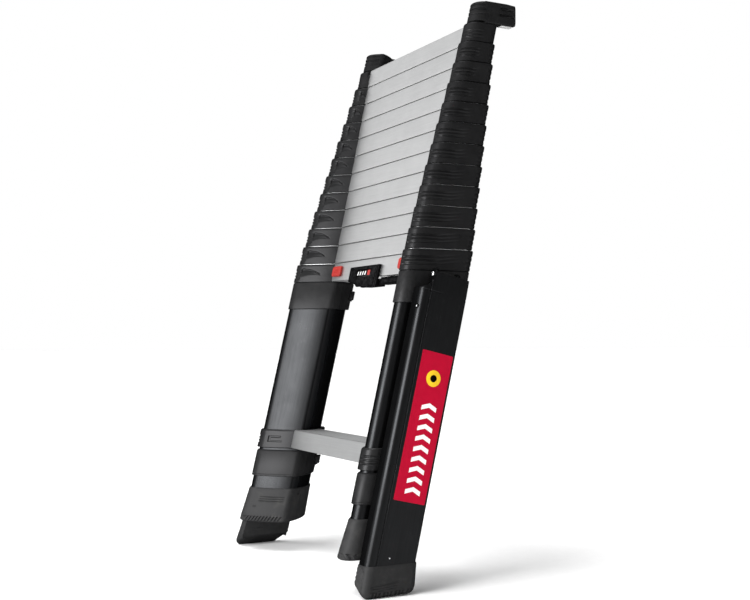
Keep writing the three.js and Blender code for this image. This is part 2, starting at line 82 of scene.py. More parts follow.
# Base section
BASE_WALL = 1.15
BASE_TUBE_BOTTOM = 57
COLLAR_GROWTH = 4.2
COLLAR_SHIFT = 1.6
STEP_COLLAR_GROWTH = 6
SLEEVE_GROWTH = 3.5
BRACKET_GROWTH = 4.1
BRACKET_SHIFT = 1.8
UPPER_SLEEVE = (417, 464.6)
LOWER_SLEEVE = (126.5, 171)
UPPER_LUG = (434, 450)
LOWER_LUG = (143, 158)
LUG_HALF_WIDTH = 7
LUG_PROUD = 7.5
LUG_FROM_CORNER = 14
SHOE_SOLE = 49
SHOE_EDGE = 55
SHOE_TOP = 106
SHOE_GROWTH = 2.4
SOLE_GROWTH = 5.8
SOLE_SHIFT = -2.2

# Rungs and bottom step
RUNG_DEPTH = 47
RUNG_REACH = 172
RUNG_WALL = 1.8
RUNG_RIBS = 9
STEP_RIBS = 10
TREAD_RADIUS = 1.5
TREAD_BOW = 0.22
TREAD_RIB_DEPTH = 1.5
BOTTOM_STEP = (175, 206)
BOTTOM_STEP_FRONT = -8.2
BOTTOM_STEP_DEPTH = 51

# Stabiliser leg and foot, in the ladder's own axes
LEG_INNER = 215.5
LEG_OUTER = 241.5
LEG_FRONT = -27
LEG_REAR = 50
LEG_FRONT_RADIUS = 12
LEG_REAR_RADIUS = 5
LEG_WALL = 3
LEG_TOP = 471
LEG_CUT = 445
LEG_CUT_RISE = 21
LEG_BOTTOM = 24
PIVOT = (231, 468)
PIVOT_RADIUS = 3.1
LUG_RADIUS = 9.5
EAR_RADIUS = 6.5
LUG_FRONT = (-9, -4)
EAR = (-3.6, 27.6)
LUG_REAR = (28, 33)
FOOT_TOP = 44.5
FOOT_BLUNT = (1, 1.4)
FOOT_LONG = (4, 8.5)
FOOT_SIDE = (1.6, 5)
SOLE_NORMAL = (-0.411787, 0.020536, -0.911049)
SOLE_POINT = (230.01, -98.315, 7.713)

# Release buttons, catch and caps
BUTTON_CENTRE = (120, 482)
BUTTON_SIZE = (32, 18)
BUTTON_PROUD = 5
CATCH_X = (-62, 42)
CATCH_Z = (448, 485)
CATCH_PROUD = 6
CATCH_AXIS = (11, 456)
CATCH_PIN_RADIUS = 4
BAR_END = 133
CAP_BOTTOM = 857.4
CAP_TOP = 889
CAP_SHIFT = 4.5
CAP_PLUG = 842
CAP_WALL_FACE = 65.2
CAP_ARM_INNER = 181
CAP_ARM_BOTTOM = 854.5


# --- places

def stance(x, v, z):
    """A point of a stile's plan at level z, leaned back."""
    return Vector((x, v + z * SLOPE + DEPTH_SHIFT, z))


def own(x, y, z):
    """A point in the leaning ladder's own axes."""
    return Vector((x, y * COSINE + z * SINE + DEPTH_SHIFT, z * COSINE - y * SINE))


def ease(low, high, value):
    """0 below low, 1 above high, smooth between; low may be the larger."""
    t = min(max((value - low) / (high - low), 0.0), 1.0)
    return t * t * (3 - 2 * t)


def window(low, high, fade, value):
    """1 between low and high, fading to 0 outside."""
    return ease(low - fade, low, value) * ease(high + fade, high, value)


def dip(distance, half_width, fade):
    """1 within half_width of a line, fading to 0."""
    return ease(half_width + fade, half_width, abs(distance))


def spread(low, high, steps):
    """Even values from low to high, both included."""
    return [low + (high - low) * i / steps for i in range(steps + 1)]


def arc(a, b, radius, start, end, steps):
    """Points (x, y, normal x, normal y) round (a, b), between two angles in degrees."""
    found = []
    for angle in spread(start, end, steps):
        nx, ny = math.cos(math.radians(angle)), math.sin(math.radians(angle))
        found.append((a + radius * nx, b + radius * ny, nx, ny))
    return found


def corner(a, b, radius, start, end, steps=4):
    return [(x, y) for x, y, nx, ny in arc(a, b, radius, start, end, steps)]


def rounded_box(x, z, radius, steps=5):
    """Outline (x, z) of a box with round corners."""
    return (corner(x[1] - radius, z[1] - radius, radius, 90, 0, steps)
            + corner(x[1] - radius, z[0] + radius, radius, 0, -90, steps)
            + corner(x[0] + radius, z[0] + radius, radius, -90, -180, steps)
            + corner(x[0] + radius, z[1] - radius, radius, 180, 90, steps))


# --- plan of a stile

def cross_circles(centre_a, radius_a, centre_b, radius_b, side):
    dx = centre_b[0] - centre_a[0]
    dy = centre_b[1] - centre_a[1]
    gap = math.hypot(dx, dy)
    along = (radius_a ** 2 - radius_b ** 2 + gap ** 2) / (2 * gap)
    off = side * math.sqrt(radius_a ** 2 - along ** 2)
    return (centre_a[0] + (along * dx - off * dy) / gap,
            centre_a[1] + (along * dy + off * dx) / gap)


def angle_to(start, end):
    return math.atan2(end[1] - start[1], end[0] - start[0])


FRONT_CENTRE = cross_circles(
    FRONT_CORNER, FRONT_BOW - CORNER_RADIUS, INNER_APEX, FRONT_BOW, -1)
REAR_CENTRE = cross_circles(
    REAR_CORNER, REAR_BOW - CORNER_RADIUS, INNER_APEX, REAR_BOW, 1)
COARSE = {"front": 8, "side": 3, "rear": 8, "rear_face": 8, "apex": 6, "front_face": 10}
MEDIUM = {"front": 12, "side": 6, "rear": 12, "rear_face": 16, "apex": 8, "front_face": 24}
FINE = {"front": 14, "side": 20, "rear": 12, "rear_face": 12, "apex": 8, "front_face": 56}


def arc_stations(part, centre, radius, start, end, steps):
    for i in range(steps):
        t = i / steps
        angle = start + (end - start) * t
        nx, nv = math.cos(angle), math.sin(angle)
        yield centre[0] + radius * nx, centre[1] + radius * nv, nx, nv, part, t


def stations(section, inset, shift=0.0, steps=COARSE):
    """Points (x, v, normal x, normal v, part, share of the part) round a right-hand stile."""
    side = OUTER_SIDE - inset - SIDE_STEP_IN * section
    front_face = FRONT_BOW - inset
    rear_face = REAR_BOW - inset
    tighter = inset - STEP_IN * section
    front = max(CORNER_RADIUS - FRONT_RADIUS_LOSS * section - tighter, 2)
    rear = max(CORNER_RADIUS - REAR_RADIUS_LOSS * section - tighter, 2)
    apex = max(APEX_RADIUS - APEX_RADIUS_LOSS * section - tighter, 2)
    fx, rx = side - front, side - rear
    front_at = (fx, FRONT_CENTRE[1] - math.sqrt(
        (front_face - front) ** 2 - (fx - FRONT_CENTRE[0]) ** 2))
    rear_at = (rx, REAR_CENTRE[1] + math.sqrt(
        (rear_face - rear) ** 2 - (rx - REAR_CENTRE[0]) ** 2))
    apex_at = cross_circles(FRONT_CENTRE, front_face - apex, REAR_CENTRE, rear_face - apex, -1)
    front_angle = angle_to(FRONT_CENTRE, front_at)
    rear_angle = angle_to(REAR_CENTRE, rear_at)
    apex_rear = angle_to(REAR_CENTRE, apex_at)
    apex_front = angle_to(FRONT_CENTRE, apex_at) + 2 * math.pi
    found = list(arc_stations("front", front_at, front, front_angle, 0, steps["front"]))
    for i in range(steps["side"]):
        t = i / steps["side"]
        found.append((side, front_at[1] + (rear_at[1] - front_at[1]) * t, 1.0, 0.0, "side", t))
    found += arc_stations("rear", rear_at, rear, 0, rear_angle, steps["rear"])
    found += arc_stations(
        "rear_face", REAR_CENTRE, rear_face, rear_angle, apex_rear, steps["rear_face"])
    found += arc_stations("apex", apex_at, apex, apex_rear, apex_front, steps["apex"])
    found += arc_stations("front_face", FRONT_CENTRE, front_face, apex_front,
                          front_angle + 2 * math.pi, steps["front_face"])
    return [(x, v + shift, nx, nv, part, t) for x, v, nx, nv, part, t in found]


def loop_at(plan, z, offset):
    """One level of a wall. offset is a number or a function of part and share."""
    row = []
    for x, v, nx, nv, part, t in plan:
        out = offset(part, t) if callable(offset) else offset
        row.append(stance(min(x + nx * out, OUTER_LIMIT), v + nv * out, z))
    return row


# --- meshes

WELD = 0.0005
SHARP = math.radians(24)


class Form:
    """Closed shells in millimetres, gathered into one mesh."""

    def __init__(self):
        self.mesh = bmesh.new()

    def skin(self, loops, tube=False, channel=False):
        """Joins equal loops in a row. A tube closes on itself; otherwise both ends are capped.

        A channel's loop runs along its outer wall and back, so strips close its ends.
        """
        rows = [[self.mesh.verts.new(p) for p in loop] for loop in loops]
        pairs = list(zip(rows, rows[1:]))
        if tube:
            pairs.append((rows[-1], rows[0]))
        count = len(rows[0])
        for a, b in pairs:
            for i in range(count):
                j = (i + 1) % count
                self.mesh.faces.new((a[i], a[j], b[j], b[i]))
        if channel:
            for row in (rows[0], rows[-1]):
                for i in range(count // 2 - 1):
                    self.mesh.faces.new((row[i], row[i + 1], row[-2 - i], row[-1 - i]))
        elif not tube:
            self.mesh.faces.new(rows[0][::-1])
            self.mesh.faces.new(rows[-1])
        return self

    def prism(self, outline, low, high, place, bevel=0.5, segments=2):
        """outline (a, b) from c = low to c = high, its edges rounded. place maps a, b, c."""
        part = bmesh.new()
        rows = [[part.verts.new((a, b, c)) for a, b in outline] for c in (low, high)]
        part.faces.new(rows[0][::-1])
        part.faces.new(rows[1])
        count = len(outline)
        for i in range(count):
            j = (i + 1) % count
            part.faces.new((rows[0][i], rows[0][j], rows[1][j], rows[1][i]))
        part.normal_update()
        if bevel > 0:
            sharp = [e for e in part.edges if e.calc_face_angle(0) > SHARP]
            bmesh.ops.bevel(part, geom=sharp, offset=bevel, segments=segments,
                            profile=0.5, affect="EDGES", clamp_overlap=True)
        found = {v: self.mesh.verts.new(place(*v.co)) for v in part.verts}
        for face in part.faces:
            self.mesh.faces.new([found[v] for v in face.verts])
        part.free()
        return self

    def box(self, x, y, z, place, bevel=0.5, segments=2):
        outline = [(x[0], y[0]), (x[1], y[0]), (x[1], y[1]), (x[0], y[1])]
        return self.prism(outline, z[0], z[1], place, bevel, segments)

    def turned(self, profile, place, sides=28):
        """profile (radius, height) turned about the c axis. place maps a, b, c."""
        turns = [2 * math.pi * i / sides for i in range(sides)]
        return self.skin([[place(radius * math.cos(turn), radius * math.sin(turn), height)
                           for turn in turns] for radius, height in profile])

    def piece(self, name, material, body, slot=None, stands_for=None, side=None, smooth=32):
        """Makes the object. With a side, both names end in it, and the left is mirrored."""
        ending, sign = (f"_{side[0]}", side[1]) if side else ("", 1)
        bm = self.mesh
        bmesh.ops.remove_doubles(bm, verts=bm.verts, dist=WELD)
        bmesh.ops.dissolve_degenerate(bm, edges=bm.edges, dist=WELD)
        for vert in bm.verts:
            vert.co = Vector((vert.co.x * sign, vert.co.y, vert.co.z)) / 1000
        bmesh.ops.recalc_face_normals(bm, faces=bm.faces)
        data = bpy.data.meshes.new(name + ending)
        bm.to_mesh(data)
        bm.free()
        data.materials.append(material)
        data.shade_smooth()
        data.set_sharp_from_angle(angle=math.radians(smooth))
        made = bpy.data.objects.new(name + ending, data)
        bpy.context.scene.collection.objects.link(made)
        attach(made, body)
        if stands_for:
            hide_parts(stands_for + ending)


def ring(form, outer, inner, levels):
    """A sleeve: outer wall through levels (z, offset), then back down the bore."""
    loops = [loop_at(outer, z, offset) for z, offset in levels]
    bottom, top = levels[0][0], levels[-1][0]
    loops += [loop_at(inner, top, 0.0), loop_at(inner, bottom, 0.0)]
    form.skin(loops, tube=True)


# --- materials

class Surface:
    """A small helper for building one node material."""

    def __init__(self, name):
        self.material = bpy.data.materials.new(name)
        self.material.use_nodes = True
        self.tree = self.material.node_tree
        self.shader = self.tree.nodes["Principled BSDF"]
        self.place = self.add("ShaderNodeTexCoord").outputs["Object"]

    def add(self, kind, **values):
        node = self.tree.nodes.new(kind)
        for key, value in values.items():
            setattr(node, key, value)
        return node

    def link(self, source, target):
        self.tree.links.new(source, target)

    def set(self, **values):
        for key, value in values.items():
            self.shader.inputs[key.replace("_", " ")].default_value = value

    def paint(self, tone, patches, rough, **values):
        """Base colour from tone; roughness over the range rough from patches."""
        self.link(tone, self.shader.inputs["Base Color"])
        self.link(self.span(patches, *rough), self.shader.inputs["Roughness"])
        self.set(**values)

    def noise(self, scale, detail=3.0, roughness=0.55, stretch=None, turn=None):
        """Noise on the object's own coordinates. scale is per metre."""
        node = self.add("ShaderNodeTexNoise")
        node.inputs["Scale"].default_value = scale
        node.inputs["Detail"].default_value = detail
        node.inputs["Roughness"].default_value = roughness
        source = self.place
        if stretch or turn:
            mapping = self.add("ShaderNodeMapping", vector_type="TEXTURE")
            mapping.inputs["Scale"].default_value = stretch or (1, 1, 1)
            mapping.inputs["Rotation"].default_value = turn or (0, 0, 0)
            self.link(source, mapping.inputs["Vector"])
            source = mapping.outputs["Vector"]
        self.link(source, node.inputs["Vector"])
        return node.outputs["Fac"]

    def ramp(self, source, stops):
        node = self.add("ShaderNodeValToRGB")
        elements = node.color_ramp.elements
        while len(elements) < len(stops):
            elements.new(0.5)
        for element, (at, colour) in zip(elements, stops):
            element.position = at
            element.color = colour if len(colour) == 4 else (*colour, 1)
        self.link(source, node.inputs["Fac"])
        return node.outputs["Color"]

    def span(self, source, low, high, start=0.3, end=0.7):
        node = self.add("ShaderNodeMapRange")
        node.inputs["From Min"].default_value = start
        node.inputs["From Max"].default_value = end
        node.inputs["To Min"].default_value = low
        node.inputs["To Max"].default_value = high
        self.link(source, node.inputs["Value"])
        return node.outputs["Result"]

    def blend(self, factor, first, second):
        node = self.add("ShaderNodeMix", data_type="RGBA")
        self.link(factor, node.inputs["Factor"])
        for socket, value in ((node.inputs["A"], first), (node.inputs["B"], second)):
            if isinstance(value, tuple):
                socket.default_value = (*value, 1)
            else:
                self.link(value, socket)
        return node.outputs["Result"]

    def bump(self, *layers):
        """layers of (height source, strength, depth in millimetres), laid over one another."""
        previous = None
        for source, strength, depth in layers:
            node = self.add("ShaderNodeBump")
            node.inputs["Strength"].default_value = strength
            node.inputs["Distance"].default_value = depth / 1000
            self.link(source, node.inputs["Height"])
            if previous is not None:
                self.link(previous, node.inputs["Normal"])
            previous = node.outputs["Normal"]
        self.link(previous, self.shader.inputs["Normal"])

    def worn_edges(self, low, high, break_up):
        """Where the mesh turns sharply outwards, broken up by a noise."""
        edge = self.span(self.add("ShaderNodeNewGeometry").outputs["Pointiness"], 0, 1, low, high)
        node = self.add("ShaderNodeMath", operation="MULTIPLY")
        self.link(edge, node.inputs[0])
        self.link(self.span(break_up, 0, 1, 0.42, 0.6), node.inputs[1])
        return node.outputs["Value"]


ALONG_X = (60, 1, 1)
ALONG_STILE = (1, 1, 60)
LEAN_TURN = (-LEAN, 0, 0)


def brushed_aluminium(name, dark, light, rough, stretch, turn=None):
    """Satin aluminium with drawing lines along the long side of stretch."""
    s = Surface(name)
    lines = s.noise(900, 4, 0.6, stretch, turn)
    broad = s.noise(9, 3, 0.5, stretch, turn)
    smudge = s.noise(26, 4, 0.6)
    tone = s.ramp(lines, [(0.25, dark), (0.75, light)])
    cloudy = s.ramp(smudge, [(0.3, (0.93, 0.93, 0.93)), (0.7, (1, 1, 1))])
    node = s.add("ShaderNodeMix", data_type="RGBA", blend_type="MULTIPLY")
    node.inputs["Factor"].default_value = 1.0
    s.link(tone, node.inputs["A"])
    s.link(cloudy, node.inputs["B"])
    s.paint(node.outputs["Result"], broad, rough, Metallic=1.0)
    s.bump((lines, 0.25, 0.04), (smudge, 0.1, 0.1))
    return s.material


BLACK_SHEEN = {"Specular_IOR_Level": 0.0, "Specular_Tint": (0.08, 0.08, 0.085, 1)}
RUBBED_ANODISED = (0.05, 0.05, 0.052)
RUBBED_PLASTIC = (0.045, 0.0455, 0.047)


def black_anodised():
    """Black tube with faint drawing lines and a few rubbed specks."""
    s = Surface("black_anodised")
    lines = s.noise(700, 3, 0.6, ALONG_STILE, LEAN_TURN)
    cloud = s.noise(30, 4, 0.6)
    scuff = s.noise(140, 5, 0.7, (1, 1, 3))
    tone = s.ramp(lines, [(0.3, (0.0125, 0.0128, 0.0134)), (0.7, (0.0165, 0.0169, 0.0177))])
    rubbed = s.span(scuff, 0, 0.2, 0.6, 0.75)
    s.paint(s.blend(rubbed, tone, RUBBED_ANODISED), cloud, (0.27, 0.34), Metallic=0.9,
            **BLACK_SHEEN)
    s.bump((lines, 0.18, 0.03), (scuff, 0.08, 0.05))
    return s.material


def moulded_black(name, dark, light, rough, grain=1500, grain_depth=0.06):
    """Moulded plastic with a fine spark-eroded grain and paler rubbed edges."""
    s = Surface(name)
    fine = s.noise(grain, 2, 0.5)
    cloud = s.noise(35, 4, 0.6)
    scuff = s.noise(220, 5, 0.7)
    tone = s.ramp(cloud, [(0.3, dark), (0.7, light)])
    worn = s.worn_edges(0.54, 0.64, scuff)
    s.paint(s.blend(worn, tone, RUBBED_PLASTIC), cloud, rough, Metallic=0.5, **BLACK_SHEEN)
    s.bump((fine, 0.35, grain_depth), (scuff, 0.1, 0.08))
    return s.material


def rubber():
    """Matt rubber, a little dusty."""
    s = Surface("rubber")
    fine = s.noise(1100, 3, 0.6)
    dust = s.noise(60, 5, 0.65)
    tone = s.ramp(dust, [(0.3, (0.026, 0.026, 0.0265)), (0.55, (0.032, 0.032, 0.0325)),
                         (0.8, (0.048, 0.0475, 0.046))])
    s.paint(tone, dust, (0.5, 0.62), Metallic=0.4, **BLACK_SHEEN)
    s.bump((fine, 0.4, 0.09), (dust, 0.12, 0.15))
    return s.material


def coloured(name, dark, light, rough, grain=900):
    """Pigmented plastic or printed film, with slight mottling."""
    s = Surface(name)
    fine = s.noise(grain, 2, 0.5)
    cloud = s.noise(70, 4, 0.6)
    s.paint(s.ramp(cloud, [(0.3, dark), (0.7, light)]), cloud, rough, Specular_IOR_Level=0.08)
    s.bump((fine, 0.2, 0.04))
    return s.material


def zinc_steel():
    """Zinc-plated steel with a fine crystal pattern."""
    s = Surface("zinc_steel")
    crystal = s.noise(600, 4, 0.6)
    cloud = s.noise(120, 3, 0.6)
    s.paint(s.ramp(crystal, [(0.3, (0.5, 0.51, 0.52)), (0.7, (0.68, 0.69, 0.7))]),
            cloud, (0.2, 0.34), Metallic=1.0)
    s.bump((crystal, 0.15, 0.03))
    return s.material


RUNG = brushed_aluminium(
    "satin_rung", (0.44, 0.443, 0.445), (0.505, 0.508, 0.51), (0.34, 0.42), ALONG_X)
# A darker copy of the rung aluminium: painted shade on the bottom step.
STEP = brushed_aluminium(
    "satin_step_painted_shade", (0.29, 0.293, 0.295), (0.34, 0.343, 0.345), (0.4, 0.5), ALONG_X)
TUBE = brushed_aluminium("drawn_tube", (0.5, 0.505, 0.51), (0.68, 0.685, 0.69), (0.26, 0.36),
                         ALONG_STILE, LEAN_TURN)
ANODISED = black_anodised()
COLLAR = moulded_black("collar_plastic", (0.0165, 0.0165, 0.017), (0.022, 0.022, 0.0225),
                       (0.27, 0.35))
# A darker copy of the collar plastic: painted shade on the catch plate and its bar.
CATCH = moulded_black("catch_plastic_painted_shade", (0.003, 0.003, 0.0033), (0.005, 0.005, 0.0053),
                      (0.42, 0.52))
SLEEVE = moulded_black("sleeve_plastic", (0.018, 0.018, 0.0185), (0.024, 0.024, 0.0245),
                       (0.34, 0.44))
# Near-black: print on the catch badge and the label hub, painted shade in the ring round the leg
# rivet.
PRINT_AND_SHADE_BLACK = moulded_black("print_black_and_painted_shade", (0.002, 0.002, 0.002), (0.004, 0.004, 0.004),
                      (0.6, 0.7))
# Pale grey: print on the catch badge bars, a painted reflection in the strip under the cap's arm.
PALE_PRINT_AND_REFLECTION = coloured("pale_print_and_painted_reflection", (0.42, 0.42, 0.42), (0.52, 0.52, 0.52), (0.6, 0.7), 1400)
RUBBER = rubber()
RED = coloured("red_plastic", (0.21, 0.018, 0.015), (0.25, 0.022, 0.018), (0.34, 0.44))
CRIMSON = coloured("label_crimson", (0.42, 0.001, 0.023), (0.47, 0.0015, 0.026), (0.45, 0.55))
WHITE = coloured("label_white", (0.88, 0.88, 0.88), (0.94, 0.94, 0.94), (0.4, 0.5))
YELLOW = coloured("label_yellow", (0.82, 0.52, 0.02), (0.9, 0.6, 0.03), (0.4, 0.5))
STEEL = zinc_steel()


# --- stiles

def body_of(section):
    return f"section_{section}" if section else "base"


def tube(section, side):
    """The bright tube of a moving section, with a broken edge at each end."""
    top = STACK_BOTTOM + PITCH * section + COLLAR_HEIGHT
    inset = STEP_IN * section
    bottom = top - TUBE_LENGTH
    form = Form()
    ring(form, stations(section, inset), stations(section, inset + WALL), [
        (bottom, -0.4), (bottom + 0.4, 0), (top - 200, 0), (top - 0.4, 0), (top, -0.4)])
    form.piece(f"tube_{section}", TUBE, body_of(section), "tube_aluminium",
               f"stile_{section}", side)


STRIPE_HEIGHTS = (9.0, 14.2, 19.4)
STRIPE_HALF_WIDTH = 1.1
STRIPE_DEPTH = 1.8
STRIPE_SWEEP = 4.5
ARROW_START = 0.4
ARROW_END = 1.0
ARROW_HALF_HEIGHT = 8.5
ARROW_MIDDLE = 14.0
ARROW_DEPTH = 2.4
ARROW_ARCH = 3.0
CORNER_RIBS_END = 0.2
CORNER_RIBS_DEPTH = 0.9
BUMP_HEIGHTS = (6.5, 14.0, 21.5)
BUMP_DEPTH = 0.6
COLLAR_ROWS = 38
SHOULDER_SLOPE = 3.9
SHOULDER_HEIGHT = 12
BORE_GAP = 0.02


def stripe_depth(part, t, h, reach):
    """Three grooves that run back from the front corner and sweep up as they fade."""
    if part == "front":
        strength, lift = ease(0.3, 0.38, t), 0.0
    elif part == "side":
        strength = ease(reach, reach * 0.2, t) * (1 - 0.45 * ease(0.1, 0.4, t))
        lift = STRIPE_SWEEP * ease(0.25, 1.0, t)
    else:
        return 0.0
    near = max(dip(h - z - lift, STRIPE_HALF_WIDTH * 0.5, STRIPE_HALF_WIDTH)
               for z in STRIPE_HEIGHTS)
    return STRIPE_DEPTH * strength * near


def arrow_depth(part, t, h):
    """A soft swoosh, deepest along its arched upper edge, narrowing towards the rungs.

    Slanted ribs run round the start of the front corner.
    """
    if part == "front":
        wave = math.cos(2 * math.pi * (1 + t * 4 - h * 0.26))
        strength = ease(CORNER_RIBS_END, 0.1, t) * window(5, 24, 1.5, h)
        return CORNER_RIBS_DEPTH * ease(0, 0.5, wave) * strength
    if part != "front_face":
        return 0.0
    share = (t - ARROW_START) / (ARROW_END - ARROW_START)
    if not 0 < share < 1.02:
        return 0.0
    half = ARROW_HALF_HEIGHT * share ** 0.7
    arch = ARROW_ARCH * (1 - (2 * share - 1) ** 2)
    from_middle = h - ARROW_MIDDLE - 3 * (share - 0.5) - arch
    inside = ease(half + 0.4, half - 1.2, from_middle) * ease(1.0, 0.93, share)
    fade = ease(-half, half * 0.8, from_middle)
    return ARROW_DEPTH * inside * fade


def bump_depth(part, t, h):
    """Three short grooves round the rear corner."""
    if part != "rear":
        return 0.0
    near = max(dip(h - z, 0.7, 1.2) for z in BUMP_HEIGHTS)
    return BUMP_DEPTH * near * window(0.15, 0.8, 0.12, t)


def relief_levels(bottom, lowest, highest, rows, relief):
    """Levels that carry a relief: a depth for a part, its share and the height."""
    return [(bottom + h, lambda part, t, h=h: -relief(part, t, h))
            for h in spread(lowest, highest, rows)]


def collar_levels(section, bottom, relief):
    """Levels from the bottom edge to the broken top edge."""
    top = bottom + COLLAR_HEIGHT + (COLLAR_LIP if section < SECTIONS else 0)
    return ([(bottom, -0.5), (bottom + 0.5, 0.0)]
            + relief_levels(bottom, 1.2, COLLAR_HEIGHT - 1.7, COLLAR_ROWS, relief)
            + [(top - 1.0, -0.3), (top - 0.4, -0.7), (top, -1.3)])


def relief_of(section):
    """The depth function of a section's collar; the last one is nearly plain."""
    reach = 0.95 - 0.045 * section

    def plain(part, t, h):
        return 0.35 * stripe_depth(part, t, h + 3, 0.5)

    def carved(part, t, h):
        return max(stripe_depth(part, t, h, reach), arrow_depth(part, t, h),
                   bump_depth(part, t, h))
    return plain if section == SECTIONS else carved


def top_shoulder(levels, bottom):
    """The last collar slopes away from its inner front edge."""
    shaped = []
    for z, offset in levels:
        slope = SHOULDER_SLOPE * ease(COLLAR_HEIGHT - SHOULDER_HEIGHT, COLLAR_HEIGHT - 0.5,
                                      z - bottom)

        def sloped(part, t, offset=offset, slope=slope):
            flat = offset(part, t) if callable(offset) else offset
            share = {"front_face": ease(0.95, 0.6, t), "apex": 1.0}.get(part, 0.0)
            if part == "rear_face":
                share = ease(0.7, 1.0, t)
            return min(flat, -slope * share)
        shaped.append((z, sloped))
    return shaped


def collar(section, side):
    """The moulded collar at the top of a section's tube."""
    bottom = STACK_BOTTOM + PITCH * section
    steps = MEDIUM if section == SECTIONS else FINE
    outer = stations(section, STEP_IN * section - COLLAR_GROWTH, COLLAR_SHIFT, steps)
    inner = stations(section, STEP_IN * section - BORE_GAP, 0, steps)
    levels = collar_levels(section, bottom, relief_of(section))
    if section == SECTIONS:
        levels = top_shoulder(levels, bottom)
    form = Form()
    ring(form, outer, inner, levels)
    node = f"stile_{section}" if section else "base_collar"
    form.piece(f"collar_{section}", COLLAR, body_of(section), "collar_plastic", node, side)


# --- rungs and step

def reach_at(plan, v):
    """How far a tread may reach at depth v before it meets the collar's plan."""
    nearest = RUNG_REACH
    for a, b in zip(plan, plan[1:] + plan[:1]):
        low, high = sorted((a[1], b[1]))
        if low <= v <= high and high > low:
            nearest = min(nearest, a[0] + (b[0] - a[0]) * (v - a[1]) / (b[1] - a[1]))
    return nearest


def tread_profile(front, depth, bottom, top, ribs):
    """Depth and height outline: bowed front, rounded edges and a ribbed top."""
    rear = front + depth
    radius = TREAD_RADIUS
    sunk = top - TREAD_RIB_DEPTH
    points = []
    for i in range(7):
        z = bottom + radius + (top - bottom - 2 * radius) * i / 6
        points.append((front - TREAD_BOW * (1 - (i / 3 - 1) ** 2), z))
    points += corner(front + radius, top - radius, radius, 180, 90)
    pitch = (depth - 8) / ribs
    for i in range(ribs):
        start = front + 4 + i * pitch
        end = start + pitch * 0.55
        points += [(start, top), (start + 0.3, sunk), (end, sunk), (end + 0.3, top)]
    points += corner(rear - radius, top - radius, radius, 90, 0)
    points += [(rear, top - (top - bottom) * i / 3) for i in (1, 2)]
    points += corner(rear - radius, bottom + radius, radius, 0, -90)
    points += [(rear - radius - (depth - 2 * radius) * i / 14, bottom) for i in range(1, 14)]
    points += corner(front + radius, bottom + radius, radius, -90, -180)
    return points


def tread(name, body, front, depth, bottom, top, plan, ribs, stands_for, material=RUNG):
    """A hollow tread whose ends follow the collars."""
    outer = tread_profile(front, depth, bottom, top, ribs)
    w = RUNG_WALL
    inner = [(min(max(v, front + w), front + depth - w), min(max(z, bottom + w), top - w))
             for v, z in outer]
    loops = []
    for share in (-1, -0.98, -0.5, 0, 0.5, 0.98, 1):
        loops.append([stance(reach_at(plan, v) * share, v, z) for v, z in outer])
    for share in (1, -1):
        loops.append([stance(reach_at(plan, v) * share, v, z) for v, z in inner])
    Form().skin(loops, tube=True).piece(
        name, material, body, "satin_aluminium", stands_for, smooth=25)


def rung(section):
    bottom = STACK_BOTTOM + PITCH * section
    plan = stations(section, STEP_IN * section - COLLAR_GROWTH - FIT, COLLAR_SHIFT, MEDIUM)
    tread(f"tread_{section}", body_of(section), 0, RUNG_DEPTH, bottom,
          bottom + PITCH - TREAD_GAP, plan, RUNG_RIBS,
          f"rung_{section}" if section else "base_rung")


def bottom_step():
    plan = stations(0, -STEP_COLLAR_GROWTH - FIT, COLLAR_SHIFT, MEDIUM)
    # The bottom tread's darker aluminium is painted shade.
    tread("bottom_tread", "base", BOTTOM_STEP_FRONT, BOTTOM_STEP_DEPTH, *BOTTOM_STEP,
          plan, STEP_RIBS, "bottom_step", STEP)


# --- base section

def base_tube(side):
    """The black tube that all the others slide into."""
    top = STACK_BOTTOM + COLLAR_HEIGHT
    form = Form()
    ring(form, stations(0, 0, 0, MEDIUM), stations(0, BASE_WALL, 0, MEDIUM), [
        (BASE_TUBE_BOTTOM, 0), (BASE_TUBE_BOTTOM + 1, 0), (200, 0), (330, 0), (top - 1.5, 0),
        (top - 0.4, 0), (top, -0.4)])
    form.piece("base_tube_shell", ANODISED, "base", "black_anodised", "base_tube", side)


def band(growth, shift, levels, steps=MEDIUM):
    """A ring round the base tube."""
    form = Form()
    ring(form, stations(0, -growth, shift, steps), stations(0, -BORE_GAP, 0, steps), levels)
    return form


def rear_lug(form, span, growth):
    """A rounded lug on a sleeve's rear inner face, with a wider, lower plate across its bottom
    end.
    """
    face = REAR_BOW + growth
    angle = angle_to(REAR_CENTRE, REAR_CORNER) + LUG_FROM_CORNER / REAR_BOW

    def place(a, b, z):
        return stance(REAR_CENTRE[0] + a * math.cos(angle) - b * math.sin(angle),
                      REAR_CENTRE[1] + a * math.sin(angle) + b * math.cos(angle), z)
    low, high = span
    form.box((face - 1.5, face + LUG_PROUD), (-LUG_HALF_WIDTH, LUG_HALF_WIDTH), (low, high),
             place, 1.2, 3)
    form.box((face - 1.5, face + LUG_PROUD - 3), (-LUG_HALF_WIDTH - 2, LUG_HALF_WIDTH + 2),
             (low - 2, low + 2), place, 0.8)


def sleeve_levels(low, high, top_edge, ridge=None):
    """Levels of a plain sleeve, with a fine groove at ridge."""
    levels = [(low, -0.7), (low + 0.7, 0)]
    if ridge:
        levels += [(ridge - 1.2, 0), (ridge - 0.6, -0.45), (ridge, -0.45), (ridge + 0.6, 0)]
    levels += [(high - top_edge, 0), (high - top_edge * 0.4, -0.35 * top_edge),
               (high, -top_edge * 0.85)]
    return levels


